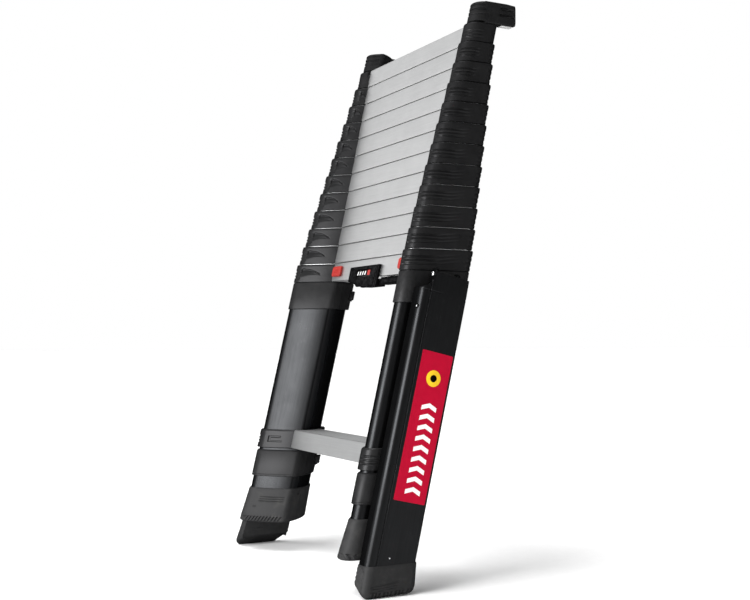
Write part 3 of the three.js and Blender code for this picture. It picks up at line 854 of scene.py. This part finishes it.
def upper_bracket(side):
    """The sleeve under the base collar, with the ear that the stabiliser leg hangs on."""
    form = band(BRACKET_GROWTH, BRACKET_SHIFT, sleeve_levels(*UPPER_SLEEVE, 1.8))
    rear_lug(form, UPPER_LUG, BRACKET_GROWTH)
    x, z = PIVOT
    ear = [(OUTER_SIDE + 1, z - EAR_RADIUS)]
    ear += corner(x, z, EAR_RADIUS, -90, 90, 12)
    ear.append((OUTER_SIDE + 1, z + EAR_RADIUS))
    form.prism(ear, EAR[0], EAR[1], lambda a, b, c: own(a, c, b), 0.7)
    form.piece("upper_sleeve", SLEEVE, "base", "collar_plastic", "upper_bracket", side)


STEP_SLOTS = (11.0, 18.6)
STEP_SLOT_DEPTH = 1.5
STEP_ROWS = 34


def step_relief(part, t, h):
    """Two joined slots in the front and grooves round the corner."""
    if part != "front_face":
        return stripe_depth(part, t, h, 0.8)
    low, high = STEP_SLOTS
    slots = max(dip(h - low, 1.1, 0.5) * window(0.5, 0.88, 0.02, t),
                dip(h - high, 1.1, 0.5) * window(0.56, 0.88, 0.02, t))
    joined = window(0.84, 0.88, 0.02, t) * window(low, high, 0.6, h)
    return STEP_SLOT_DEPTH * max(slots, joined)


def step_collar(side):
    """The collar at the bottom step."""
    low, high = BOTTOM_STEP
    levels = [(low, -0.7), (low + 0.7, 0)]
    levels += relief_levels(low, 1.5, high - low - 2.5, STEP_ROWS, step_relief)
    levels += [(high - 1.0, -0.6), (high, -1.8)]
    form = band(STEP_COLLAR_GROWTH, COLLAR_SHIFT, levels, FINE)
    form.piece("step_band", COLLAR, "base", "collar_plastic", "step_collar", side)


def lower_sleeve(side):
    form = band(SLEEVE_GROWTH, 0, sleeve_levels(*LOWER_SLEEVE, 2.6, LOWER_SLEEVE[0] + 3))
    rear_lug(form, LOWER_LUG, SLEEVE_GROWTH)
    form.piece("lower_band", SLEEVE, "base", "collar_plastic", "lower_sleeve", side)


TOOTH_COUNT = 11
TOOTH_DEPTH = 2.1
TOOTH_TOP = 59.0
TOOTH_SLANT = 0.085
SHOE_LINES = (84, 87.6, 91.2)
SHOE_DASH = 75
SHOE_SLOT = (95.5, 101.5)


def shoe_relief(part, t, z):
    """Slanted teeth along the lower edge, three fine lines, a dash and a slot."""
    depth = 0.0
    if part in ("front_face", "front"):
        place = t if part == "front_face" else 1 + t * 0.3
        wave = math.cos(2 * math.pi * (place * TOOTH_COUNT + (z - SHOE_SOLE) * TOOTH_SLANT))
        depth = TOOTH_DEPTH * ease(-0.1, 0.45, wave) * ease(TOOTH_TOP + 0.6, TOOTH_TOP - 0.6, z)
    if part == "front_face":
        lines = max(dip(z - at, 0.3, 0.6) for at in SHOE_LINES)
        depth = max(depth, 0.9 * lines * window(0.08, 0.72, 0.05, t))
        depth = max(depth, 0.8 * dip(z - SHOE_DASH, 0.4, 0.5) * window(0.8, 0.88, 0.02, t))
    if part == "rear_face":
        depth = max(depth, 2.0 * window(*SHOE_SLOT, 0.6, z) * window(0.74, 0.79, 0.03, t))
    return depth


def shoe(side):
    """A rubber shoe, wider at its sole, moulded round the foot of the base tube."""
    steps = dict(FINE, front=18, side=6, rear_face=28)
    wide = stations(0, -SOLE_GROWTH, SOLE_SHIFT, steps)
    slim = stations(0, -SHOE_GROWTH, 0, steps)
    rim = stations(0, -BORE_GAP, 0, steps)
    loops = [loop_at(wide, SHOE_SOLE + rise, offset)
             for rise, offset in ((0, -7.0), (0.3, -3.6), (1.4, -1.4))]
    teeth = [SHOE_SOLE + 3 + 0.8 * i for i in range(10)]
    dash = [61.5, 66, 71, 73.6, 74.4, 75, 75.6, 76.4, 80]
    lines = [82.8 + 0.6 * i for i in range(17)]
    slot = [94.8, 95.6, 96.2, 98.5, 101.3, 102.1, 103, 104.6]
    for z in teeth + dash + lines + slot:
        share = max((z - SHOE_EDGE) / (SHOE_TOP - SHOE_EDGE), 0)
        row = []
        for a, b in zip(wide, slim):
            x, v, nx, nv = (a[i] + (b[i] - a[i]) * share for i in range(4))
            out = -shoe_relief(a[4], a[5], z)
            row.append(stance(min(x + nx * out, OUTER_LIMIT), v + nv * out, z))
        loops.append(row)
    loops += [loop_at(slim, SHOE_TOP, -0.9), loop_at(rim, SHOE_TOP, 0),
              loop_at(rim, SHOE_TOP - 12, 0)]
    Form().skin(loops).piece("rubber_shoe", RUBBER, "base", "rubber", "shoe", side)


# --- buttons and catch

def facing(a, b, c):
    """A point of an outline (x, z) on the front of the stiles, with its depth."""
    return stance(a, c, b)


BUTTON_RADIUS = 4.2
BUTTON_STEPS = ((0.3, 0.6), (0.8, 0), (BUTTON_PROUD - 1.4, 0.1), (BUTTON_PROUD - 0.4, 0.8),
                (BUTTON_PROUD + 0.1, 1.9), (BUTTON_PROUD + 0.3, 3.2), (BUTTON_PROUD - 0.3, 5.0))
GRIP_SPACING = 5


def release_button(side):
    """A rounded thumb piece with three grip bars."""
    x, z = BUTTON_CENTRE
    half_width, half_height = BUTTON_SIZE[0] / 2, BUTTON_SIZE[1] / 2
    loops = []
    for depth, inset in BUTTON_STEPS:
        outline = rounded_box((x - half_width + inset, x + half_width - inset),
                              (z - half_height + inset, z + half_height - inset),
                              max(BUTTON_RADIUS - inset * 0.7, 1.2))
        loops.append([stance(a, -depth, b) for a, b in outline])
    form = Form().skin(loops)
    for shift in (-GRIP_SPACING, 0, GRIP_SPACING):
        form.box((x + shift - 0.8, x + shift + 0.8), (z - 3.4, z + 3.4),
                 (-BUTTON_PROUD - 0.2, -BUTTON_PROUD + 1), facing, 0.35)
    form.piece("button", RED, f"release_{side[0]}", "red_plastic", "release_button", side)


BADGE = ((-33, 21), (466, 479.5))
BADGE_BARS = (-28, -19.5, -11, -2.5)
BADGE_BAR_HEIGHT = (469.6, 475.8)
BADGE_TAB = ((8, 17), (468.6, 477))


def centre_catch():
    """The black plate in front of the base rung, its rib and frame, and the block behind it."""
    left, right = CATCH_X
    bottom, top = CATCH_Z
    front = -FIT - CATCH_PROUD
    form = Form()
    plate = [(left, top), (left, bottom + 13), (-5, bottom), (right, bottom), (right, top)]
    form.prism(plate, front + 0.8, -FIT, facing, 1.0, 3)
    edge = [(left + 4, top - 1.6), (left + 4, bottom + 14.5), (-3, bottom + 3),
            (right - 9, bottom + 3), (right - 9, top - 1.6)]
    form.prism(edge, front, front + 2, facing, 0.8, 2)
    form.box((right - 6.5, right - 2.5), (bottom + 2, top - 1.2), (front - 0.2, front + 2),
             facing, 0.7)
    block_top = CATCH_AXIS[1] + 5.2
    block = [(left + 9, block_top), (left + 9, bottom + 11), (-5, bottom + 0.4),
             (right - 1, bottom + 0.4), (right - 1, block_top)]
    form.prism(block, -2, CATCH_AXIS[0] + 3.6, facing, 1.0, 3)
    # The catch's darker plastic is painted shade.
    form.piece("catch_plate", CATCH, "catch", "collar_plastic", "centre_catch")
    badge = Form().prism(rounded_box(*BADGE, 1.2), front - 0.05, front + 0.6, facing, 0.2)
    badge.piece("catch_badge_field", PRINT_AND_SHADE_BLACK, "catch", "collar_plastic")
    low, high = BADGE_BAR_HEIGHT
    pale = Form()
    for start in BADGE_BARS:
        bar = [(start, low), (start + 3.4, low), (start + 5, high), (start + 1.6, high)]
        pale.prism(bar, front - 0.25, front + 0.4, facing, 0.1, 1)
    pale.piece("catch_badge_bars", PALE_PRINT_AND_REFLECTION, "catch")
    red = Form().prism(rounded_box(*BADGE_TAB, 1), front - 0.25, front + 0.4, facing, 0.1, 1)
    red.piece("catch_badge_tab", RED, "catch")


def catch_bar():
    """The bar beside the catch and the pin that the catch turns on."""
    form = Form()
    start = CATCH_X[1] + 0.6
    outline = [(start, 451), (start, 463.4), (BAR_END, 463.4), (BAR_END, 454.5),
               (BAR_END - 8, 451)]
    form.prism(outline, 2.2, 19.8, facing, 1.2, 3)
    form.box((start + 8, BAR_END - 12), (454, 460), (1.2, 3.4), facing, 0.5)
    lift = CATCH_AXIS[1] * SLOPE + DEPTH_SHIFT + CATCH_AXIS[0]
    form.turned([(CATCH_PIN_RADIUS - 0.5, CATCH_X[0] + 4), (CATCH_PIN_RADIUS, CATCH_X[0] + 4.5),
                 (CATCH_PIN_RADIUS, start + 2)],
                lambda a, b, c: Vector((c, lift + a, CATCH_AXIS[1] + b)))
    # The rail's darker plastic is painted shade.
    form.piece("catch_rail", CATCH, "base", "collar_plastic", "catch_bar")


# --- stabilisers

LEG_GROOVE = -13.2
LEG_BEAD = -10.2
LEG_SHOULDER = LUG_FRONT[0]
LEG_SEAM = LEG_CUT - 3
LEG_RIVET = (232.4, -26.5, 416)
LEG_RIVET_SHADE_RING = (232.4, -26.3, 416)
LEG_SCREW = (LEG_OUTER - 0.1, 5, 57)
FRONT_AXIS = (0, -1, 0)
OUTER_AXIS = (1, 0, 0)
CHANNEL_LEVELS = (LEG_BOTTOM, LEG_BOTTOM + 1, 80, 140, 200, 260, 320, 380, 425,
                  440.6, 441.2, 441.6, 442.0, 442.4, 443.0, 443.6)


def leg_top(y):
    """The channel's front is cut back below the hinge."""
    if y > LEG_SHOULDER:
        return LEG_TOP
    share = (y - LEG_FRONT) / (LEG_SHOULDER - LEG_FRONT)
    return LEG_CUT + LEG_CUT_RISE * (0.35 * share + 0.65 * share ** 3)


def leg_corner(x, y, radius, start, end, steps):
    inner = radius - LEG_WALL
    return [((px, py), (nx, ny), (x + inner * nx, y + inner * ny), leg_top(py))
            for px, py, nx, ny in arc(x, y, radius, start, end, steps)]


def leg_plan():
    """Rows of (outer point, outer normal, inner point, top) along the open channel."""
    front_x, front_y = LEG_OUTER - LEG_FRONT_RADIUS, LEG_FRONT + LEG_FRONT_RADIUS
    rear_x, rear_y = LEG_OUTER - LEG_REAR_RADIUS, LEG_REAR - LEG_REAR_RADIUS
    rows = [((x, LEG_FRONT), (0, -1), (x, LEG_FRONT + LEG_WALL), leg_top(LEG_FRONT))
            for x in spread(LEG_INNER, front_x, 5)[:-1]]
    rows += leg_corner(front_x, front_y, LEG_FRONT_RADIUS, -90, 0, 12)
    groove = [-14.4, -14, -13.6, -13.2, -12.8, -12.4, -12, -11.4, -10.8, -10.2, -9.6]
    beyond = [LEG_SHOULDER, LEG_SHOULDER + 0.01, -6, 0, 6, 12, 20, 28, 36, 42]
    rows += [((LEG_OUTER, y), (1, 0), (LEG_OUTER - LEG_WALL, y), leg_top(y))
             for y in groove + beyond]
    rows += leg_corner(rear_x, rear_y, LEG_REAR_RADIUS, 0, 90, 6)
    rows += [((x, LEG_REAR), (0, 1), (x, LEG_REAR - LEG_WALL), LEG_TOP)
             for x in spread(rear_x, LEG_INNER, 4)[1:]]
    return rows


def leg_offset(normal, y, z):
    """A groove and a bead beside the front corner, and a joint line near the top."""
    seam = 0.45 * dip(z - LEG_SEAM, 0.3, 0.5)
    if normal != (1, 0):
        return -seam * ease(-25, -22, y)
    groove = 1.1 * dip(y - LEG_GROOVE, 0.2, 0.9)
    return 0.5 * dip(y - LEG_BEAD, 0.3, 1.1) - groove - seam * ease(4, 0, y)


def stabiliser_channel(form):
    """The leg's folded sheet. Its last level follows the slanted cut at the top."""
    rows = leg_plan()
    loops = []
    for z in (*CHANNEL_LEVELS, None):
        outside, inside = [], []
        for outer, normal, inner, top in rows:
            level = top if z is None else z
            out = leg_offset(normal, outer[1], level) - (0.5 if z is None else 0)
            outside.append(own(outer[0] + normal[0] * out, outer[1] + normal[1] * out, level))
            inside.append(own(*inner, level))
        loops.append(outside + inside[::-1])
    form.skin(loops, channel=True)


def stabiliser_leg(side):
    """A folded channel with two hinge lugs at its top."""
    body = f"stabiliser_{side[0]}"
    form = Form()
    stabiliser_channel(form)
    x, z = PIVOT
    lug = [(LEG_OUTER - 1, LEG_CUT - 16), (LEG_OUTER - 1, z - 3)]
    lug += corner(x, z, LUG_RADIUS, 0, 180, 18)
    lug.append((x - LUG_RADIUS, LEG_CUT - 16))
    for span in (LUG_FRONT, LUG_REAR):
        form.prism(lug, span[0], span[1], lambda a, b, c: own(a, c, b), 0.9)
    form.piece("leg_channel", ANODISED, body, "black_anodised", "stabiliser_leg", side)
    fastener("leg_rivet", STEEL, body, side, LEG_RIVET, FRONT_AXIS, 1.9)
    # A thin near-black disc round the rivet: painted shade where its head meets the leg.
    fastener("leg_rivet_shade_ring", PRINT_AND_SHADE_BLACK, body, side, LEG_RIVET_SHADE_RING, FRONT_AXIS, 4.0, 0.35)
    fastener("leg_screw", STEEL, body, side, LEG_SCREW, OUTER_AXIS, 1.3)
    label(side)


def fastener(name, material, body, side, centre, axis, radius, height=1.1):
    """A domed head on an outer face of the leg, or a thin disc if it is under 1 mm high."""
    def place(a, b, c):
        if axis == OUTER_AXIS:
            return own(centre[0] + c, centre[1] + a, centre[2] + b)
        return own(centre[0] + a, centre[1] + axis[1] * c, centre[2] + b)
    profile = [(radius, -1.0), (radius, height), (radius * 0.92, height * 1.2)]
    if height >= 1:
        profile = [(radius, -1.0), (radius, height * 0.35), (radius * 0.9, height * 0.7),
                   (radius * 0.6, height * 0.95), (radius * 0.3, height),
                   (radius * 0.24, height * 0.6)]
    Form().turned(profile, place).piece(name, material, body, side=side)


LABEL_DEPTH = (-7.2, 44.6)
LABEL_HEIGHT = (138, 356)
CHEVRONS = 9
CHEVRON_PITCH = 15.2
CHEVRON_BOTTOM = 149
CHEVRON_DEPTH = (8.5, 33.5)
DISC_CENTRE = (19, 318)


def label(side):
    """A plain crimson label: white chevrons and a yellow disc, with no lettering."""
    body = f"stabiliser_{side[0]}"

    def place(a, b, c):
        return own(LEG_OUTER + c, a, b)

    def round_place(a, b, c):
        return place(DISC_CENTRE[0] + a, DISC_CENTRE[1] + b, c)
    field = Form().prism(rounded_box(LABEL_DEPTH, LABEL_HEIGHT, 1.6), -0.3, 0.3, place, 0.12, 1)
    field.piece("label_field", CRIMSON, body, side=side)
    white = Form()
    front, rear = CHEVRON_DEPTH
    middle = (front + rear) / 2
    for i in range(CHEVRONS):
        low = CHEVRON_BOTTOM + i * CHEVRON_PITCH
        chevron = [(front, low), (middle, low + 5), (rear, low), (rear, low + 6.5),
                   (middle, low + 11.5), (front, low + 6.5)]
        white.prism(chevron, 0.1, 0.42, place, 0.08, 1)
    white.piece("label_chevrons", WHITE, body, side=side)
    disc = Form().turned([(12, 0.1), (12, 0.36), (11.8, 0.42)], round_place, 40)
    disc.piece("label_disc", YELLOW, body, side=side)
    hub = Form().turned([(5.4, 0.3), (5.4, 0.46), (5.2, 0.52)], round_place, 32)
    hub.piece("label_hub", PRINT_AND_SHADE_BLACK, body, side=side)


def pivot_pin(side):
    """A riveted pin with a domed head and a rolled tail."""
    x, z = PIVOT
    front, rear = LUG_FRONT[0] - FIT, LUG_REAR[1] + FIT
    profile = [(1.6, front - 2.3), (2.8, front - 2.0), (3.5, front - 1.3), (3.8, front - 0.5),
               (3.8, front), (PIVOT_RADIUS, front), (PIVOT_RADIUS, rear), (4.9, rear),
               (4.9, rear + 1), (4.2, rear + 1.8), (2.6, rear + 2.1)]
    form = Form().turned(profile, lambda a, b, c: own(x + a, c, z + b))
    form.piece("hinge_pin", STEEL, "base", "steel", "pivot_pin", side)


FOOT_SINK = 4
FOOT_ROWS = 34
FOOT_TOOTH_PITCH = 6.2
FOOT_TOOTH_DEPTH = 2.8
FOOT_LINES = (11, 14.5, 18)


def foot_stations(front, rear, outer):
    """Points round the foot: its front, its outside, its rear and the flat inner side."""
    radius = LEG_FRONT_RADIUS
    left, right = LEG_INNER - 1, LEG_OUTER + outer
    turn = right - radius
    low, high = LEG_FRONT - front, LEG_REAR + rear
    length = high - low - 2 * radius
    found = [(x, low, 0, -1, "front") for x in spread(left, turn, 16)[:-1]]
    found += [(*at, "corner") for at in arc(turn, low + radius, radius, -90, 0, 12)[:-1]]
    found += [(right, low + radius + length * i / 24, 1, 0, "outside") for i in range(24)]
    found += [(*at, "back") for at in arc(turn, high - radius, radius, 0, 90, 12)[:-1]]
    found += [(x, high, 0, 1, "back") for x in spread(turn, left, 8)]
    found += [(left, v, -1, 0, "inside") for v in spread(high, low, 12)[1:-1]]
    return [(x, v * (1 / COSINE), nx, nv, part) for x, v, nx, nv, part in found]


def foot_relief(part, x, v, h):
    """Ribs on the front, lines on the outside, teeth round the lower edge."""
    depth = 0.0
    if part in ("front", "corner"):
        wave = math.cos(2 * math.pi * (x * 0.22 + h * 0.17))
        depth = 1.2 * ease(-0.1, 0.5, wave) * window(4, 33, 1.5, h) * ease(238, 234, x)
    if part in ("outside", "back"):
        tooth = math.cos(2 * math.pi * v / FOOT_TOOTH_PITCH)
        depth = FOOT_TOOTH_DEPTH * ease(-0.1, 0.5, tooth) * ease(9.5, 7.5, h)
    if part == "outside":
        lines = max(dip(h - at - v * 0.06, 0.3, 0.6) for at in FOOT_LINES)
        depth = max(depth, 0.8 * lines * window(-20, 22, 8, v))
        pits = dip(v - 24, 1.3, 0.6) * dip(h - 21, 1.0, 0.6)
        depth = max(depth, 1.1 * pits)
    if part == "inside":
        slash = dip(h - 9 - (v + 20) * 0.5, 0.6, 0.7) * window(-30, 0, 2, v)
        depth = 0.9 * max(slash, dip(v - 8, 0.5, 0.6) * window(8, 18, 1, h))
    return depth


def sole_level(x, y):
    """Height of the slanted sole under a point, never below the ground."""
    nx, ny, nz = SOLE_NORMAL
    px, py, pz = SOLE_POINT
    return max(pz - ((x - px) * nx + (y - py) * ny) / nz, 0.0)


def stabiliser_foot(side, front, rear):
    """A rubber block round the end of the leg, its sole cut for the open leg."""
    wide = foot_stations(front[1], rear[1], FOOT_SIDE[1])
    slim = foot_stations(front[0], rear[0], FOOT_SIDE[0])

    def between(a, b, z):
        """The wall's point and normal at height z; it is wide at its foot, slim at its top."""
        mix = (z + FOOT_SINK) / (FOOT_TOP + FOOT_SINK)
        return (a[i] + (b[i] - a[i]) * mix for i in range(4))

    def wall(share, edge):
        loop = []
        for a, b in zip(wide, slim):
            z = 0.0
            for _ in range(4):
                x, v, nx, nv = between(a, b, z)
                bottom = stance(x, v, z)
                z = sole_level(bottom.x, bottom.y)
            level = z + (FOOT_TOP - z) * share
            x, v, nx, nv = between(a, b, level)
            out = -edge - foot_relief(a[4], x, v, level - z) * ease(0.95, 0.9, share)
            loop.append(stance(x + nx * out, v + nv * out, level))
        return loop
    sole = ((0.0, 7.5), (0.012, 5.4), (0.035, 3.5), (0.07, 1.9), (0.11, 0.8), (0.15, 0.2))
    loops = [wall(share, edge) for share, edge in sole]
    loops += [wall(0.18 + 0.75 * i / FOOT_ROWS, 0.0) for i in range(FOOT_ROWS + 1)]
    loops += [wall(0.975, 0.3), wall(1.0, 1.1)]
    Form().skin(loops).piece("rubber_foot", RUBBER, f"stabiliser_{side[0]}", "rubber",
                             "stabiliser_foot", side)


# --- top caps

CAP_RIDGES = (865.5, 872.5, 879.5)
ARM_DROP = 1.2
ARM_ROUND = 6.0
ARM_START = 8.0
ARM_ROWS = 44
ARM_SLOT_DEPTH = 2.8
CAP_RIDGE_DEPTH = 1.5
CAP_ROWS = 34
CAP_EDGE = 4
CAP_REFLECTION_DEPTH = (38, CAP_WALL_FACE - 5)


def cap_relief(part, t, z):
    """Three ridges round the front of the cap."""
    if part == "side":
        strength = ease(0.35, 0.1, t)
    elif part in ("front", "front_face"):
        strength = 1.0
    else:
        return 0.0
    return CAP_RIDGE_DEPTH * strength * max(dip(z - at - 3.4, 0.9, 0.8) for at in CAP_RIDGES)


def arm_relief(y, z):
    """An oval hollow on the arm's outer side, with two slots in it."""
    middle = CAP_WALL_FACE - 18
    along, up = (y - middle) / 14.0, (z - 873.5) / 8.0
    oval = ease(1.08, 0.92, math.sqrt(along * along + up * up))
    upper = dip(z - 879.6 + (y - middle) * 0.09, 1.5, 0.5) * window(middle - 15, middle + 13, 1, y)
    lower = dip(z - 869.4 + (y - middle) * 0.05, 1.0, 0.5) * window(middle - 18, middle + 14, 1, y)
    return 0.5 * oval + ARM_SLOT_DEPTH * max(upper, lower)


def cap_arm(form):
    """The arm that rests on the wall: cross sections from front to rear."""
    outer = OUTER_SIDE - STEP_IN * SECTIONS - SIDE_STEP_IN * SECTIONS + COLLAR_GROWTH
    rise = CAP_TOP * SLOPE + DEPTH_SHIFT
    loops = []
    for y in spread(ARM_START, CAP_WALL_FACE, ARM_ROWS):
        left = CAP_WALL_FACE - y
        bottom = CAP_ARM_BOTTOM
        if left < ARM_ROUND:
            bottom += ARM_ROUND - math.sqrt(max(ARM_ROUND ** 2 - (ARM_ROUND - left) ** 2, 0))
        top = CAP_TOP - ARM_DROP * ease(45, CAP_WALL_FACE, y) - 1.6 * ease(1.6, 0, left)
        shrink = 3.0 * ease(3.2, 0.0, left) + 0.7 * ease(ARM_START + 9, ARM_START, y) - 0.12
        flat = ease(0.5, 2.5, left)
        low, high = bottom + 1.2, top - 1.2
        outside, inside = outer - shrink, CAP_ARM_INNER + shrink
        points = [(outside - arm_relief(y, z) * flat, z) for z in spread(low, high, 24)]
        points += [(outside - 0.4, top - 0.4), (outside - 1.3, top),
                   (inside + 1.3, top), (inside + 0.4, top - 0.4)]
        points += [(inside, z) for z in spread(high, low, 4)]
        points += [(inside + 0.4, bottom + 0.4), (inside + 1.3, bottom),
                   (outside - 1.3, bottom), (outside - 0.4, bottom + 0.4)]
        loops.append([Vector((x, y + rise, z)) for x, z in points])
    form.skin(loops)


def top_cap(side):
    """Covers the last collar, plugs its tube and reaches back to the wall."""
    inset = STEP_IN * SECTIONS
    cover = stations(SECTIONS, inset - COLLAR_GROWTH, COLLAR_SHIFT + CAP_SHIFT, MEDIUM)
    plug = stations(SECTIONS, inset + WALL + 3, 0, MEDIUM)
    loops = [loop_at(plug, CAP_PLUG, -1.0), loop_at(plug, CAP_PLUG + 1.5, 0),
             loop_at(plug, CAP_BOTTOM, 0), loop_at(cover, CAP_BOTTOM, -0.6),
             loop_at(cover, CAP_BOTTOM + 0.6, 0)]
    for i in range(CAP_ROWS + 1):
        z = CAP_BOTTOM + 1.4 + (CAP_TOP - CAP_BOTTOM - 6) * i / CAP_ROWS
        loops.append(loop_at(cover, z, lambda part, t, z=z: -cap_relief(part, t, z)))
    for angle in (15, 35, 55, 75, 90):
        a = math.radians(angle)
        loops.append(loop_at(cover, CAP_TOP - CAP_EDGE + CAP_EDGE * math.sin(a),
                             CAP_EDGE * (math.cos(a) - 1)))
    form = Form().skin(loops)
    cap_arm(form)
    form.piece("cap", COLLAR, body_of(SECTIONS), "collar_plastic", "top_cap", side)
    rise = CAP_TOP * SLOPE + DEPTH_SHIFT
    # A pale strip under the arm: painted reflection on its underside.
    reflection_patch = Form().box((CAP_ARM_INNER + 1.4, 193.6), (CAP_REFLECTION_DEPTH[0] + rise, CAP_REFLECTION_DEPTH[1] + rise),
                     (CAP_ARM_BOTTOM - 0.5, CAP_ARM_BOTTOM + 1),
                     lambda a, b, c: Vector((a, b, c)), 0.3)
    reflection_patch.piece("cap_painted_reflection", PALE_PRINT_AND_REFLECTION, body_of(SECTIONS), "collar_plastic", side=side)


# --- the whole ladder

def build_ladder():
    for side in SIDES:
        base_tube(side)
        upper_bracket(side)
        step_collar(side)
        lower_sleeve(side)
        shoe(side)
        for section in range(SECTIONS + 1):
            collar(section, side)
        for section in range(1, SECTIONS + 1):
            tube(section, side)
        release_button(side)
        stabiliser_leg(side)
        pivot_pin(side)
        top_cap(side)
    stabiliser_foot(SIDES[0], FOOT_BLUNT, FOOT_LONG)
    stabiliser_foot(SIDES[1], FOOT_LONG, FOOT_BLUNT)
    for section in range(SECTIONS + 1):
        rung(section)
    bottom_step()
    centre_catch()
    catch_bar()


# --- studio

FLOOR_REACH = 40


def studio_floor():
    """A pale matt floor, large enough to fill the picture."""
    s = Surface("studio_floor")
    fine = s.noise(60, 3, 0.5)
    s.link(s.ramp(fine, [(0.3, (0.86, 0.86, 0.86)), (0.7, (0.88, 0.88, 0.88))]),
           s.shader.inputs["Base Color"])
    s.set(Roughness=0.9, Specular_IOR_Level=0.1)
    data = bpy.data.meshes.new("floor")
    reach = FLOOR_REACH
    data.from_pydata([(-reach, -reach, 0), (reach, -reach, 0), (reach, reach, 0),
                      (-reach, reach, 0)], [], [(0, 1, 2, 3)])
    data.materials.append(s.material)
    floor = bpy.data.objects.new("floor", data)
    bpy.context.scene.collection.objects.link(floor)


def aimed(name, data, place, direction):
    """Links an object that stands at place and looks along direction."""
    made = bpy.data.objects.new(name, data)
    made.location = place
    made.rotation_mode = "QUATERNION"
    made.rotation_quaternion = Vector(direction).to_track_quat("-Z", "Y")
    bpy.context.scene.collection.objects.link(made)
    return made


BRIGHT_SIDE = Vector((-0.6, -0.75, -0.25)).normalized()
BRIGHT_LEVEL = 1.55
DIM_LEVEL = 0.46
BRIGHT_EDGE = 0.85


def studio_world():
    """White to the camera; as a light, bright from the front left and dim from the right."""
    world = bpy.data.worlds.new("studio")
    world.use_nodes = True
    tree = world.node_tree
    shown = tree.nodes["Background"]
    shown.inputs["Color"].default_value = (1, 1, 1, 1)
    light = tree.nodes.new("ShaderNodeBackground")
    place = tree.nodes.new("ShaderNodeTexCoord")
    toward = tree.nodes.new("ShaderNodeVectorMath")
    toward.operation = "DOT_PRODUCT"
    toward.inputs[1].default_value = BRIGHT_SIDE
    level = tree.nodes.new("ShaderNodeMapRange")
    level.interpolation_type = "SMOOTHSTEP"
    level.inputs["From Min"].default_value = 0.0
    level.inputs["From Max"].default_value = BRIGHT_EDGE
    level.inputs["To Min"].default_value = DIM_LEVEL
    level.inputs["To Max"].default_value = BRIGHT_LEVEL
    seen = tree.nodes.new("ShaderNodeLightPath")
    mix = tree.nodes.new("ShaderNodeMixShader")
    tree.links.new(place.outputs["Generated"], toward.inputs[0])
    tree.links.new(toward.outputs["Value"], level.inputs["Value"])
    tree.links.new(level.outputs["Result"], light.inputs["Strength"])
    tree.links.new(seen.outputs["Is Camera Ray"], mix.inputs["Fac"])
    tree.links.new(light.outputs["Background"], mix.inputs[1])
    tree.links.new(shown.outputs["Background"], mix.inputs[2])
    tree.links.new(mix.outputs["Shader"], tree.nodes["World Output"].inputs["Surface"])
    bpy.context.scene.world = world
    bpy.context.scene.view_settings.view_transform = "Standard"


SOFTBOX_SIZE = (1.2, 1.0)
SOFTBOX_POWER = 80
SOFTBOX_PLACE = Vector((0.45, -2.25, 0.9))
SOFTBOX_TARGET = Vector((0, 0, 0.4))
SUN_STRENGTH = 3.0
SUN_SPREAD = math.radians(40)
SUN_DIRECTION = (0.12, 0.22, -0.97)


def lights():
    box = bpy.data.lights.new("front", "AREA")
    box.shape = "RECTANGLE"
    box.size, box.size_y = SOFTBOX_SIZE
    box.energy = SOFTBOX_POWER
    aimed("front", box, SOFTBOX_PLACE, SOFTBOX_TARGET - SOFTBOX_PLACE)
    sun = bpy.data.lights.new("sky", "SUN")
    sun.energy = SUN_STRENGTH
    sun.angle = SUN_SPREAD
    aimed("sky", sun, (0, 0, 0), SUN_DIRECTION)
    studio_world()


CAMERA_LENS = 52.8
CAMERA_AZIMUTH = 62.41
CAMERA_ELEVATION = -2.16
CAMERA_FROM_TOP = (1.6157, -0.9209, -0.4964)


def camera():
    """Placed from the front middle of the closed ladder's top rung."""
    data = bpy.data.cameras.new("camera")
    data.lens = CAMERA_LENS
    data.sensor_width = 36
    data.clip_start, data.clip_end = 0.05, 100
    top = stance(0, 0, STACK_BOTTOM + PITCH * (SECTIONS + 1) - TREAD_GAP) / 1000
    a, e = math.radians(CAMERA_AZIMUTH), math.radians(CAMERA_ELEVATION)
    back = Vector((math.sin(a) * math.cos(e), -math.cos(a) * math.cos(e), math.sin(e)))
    bpy.context.scene.camera = aimed("camera", data, top + Vector(CAMERA_FROM_TOP), -back)


camera()
build_ladder()
studio_floor()
lights()

bpy.context.view_layer.update()
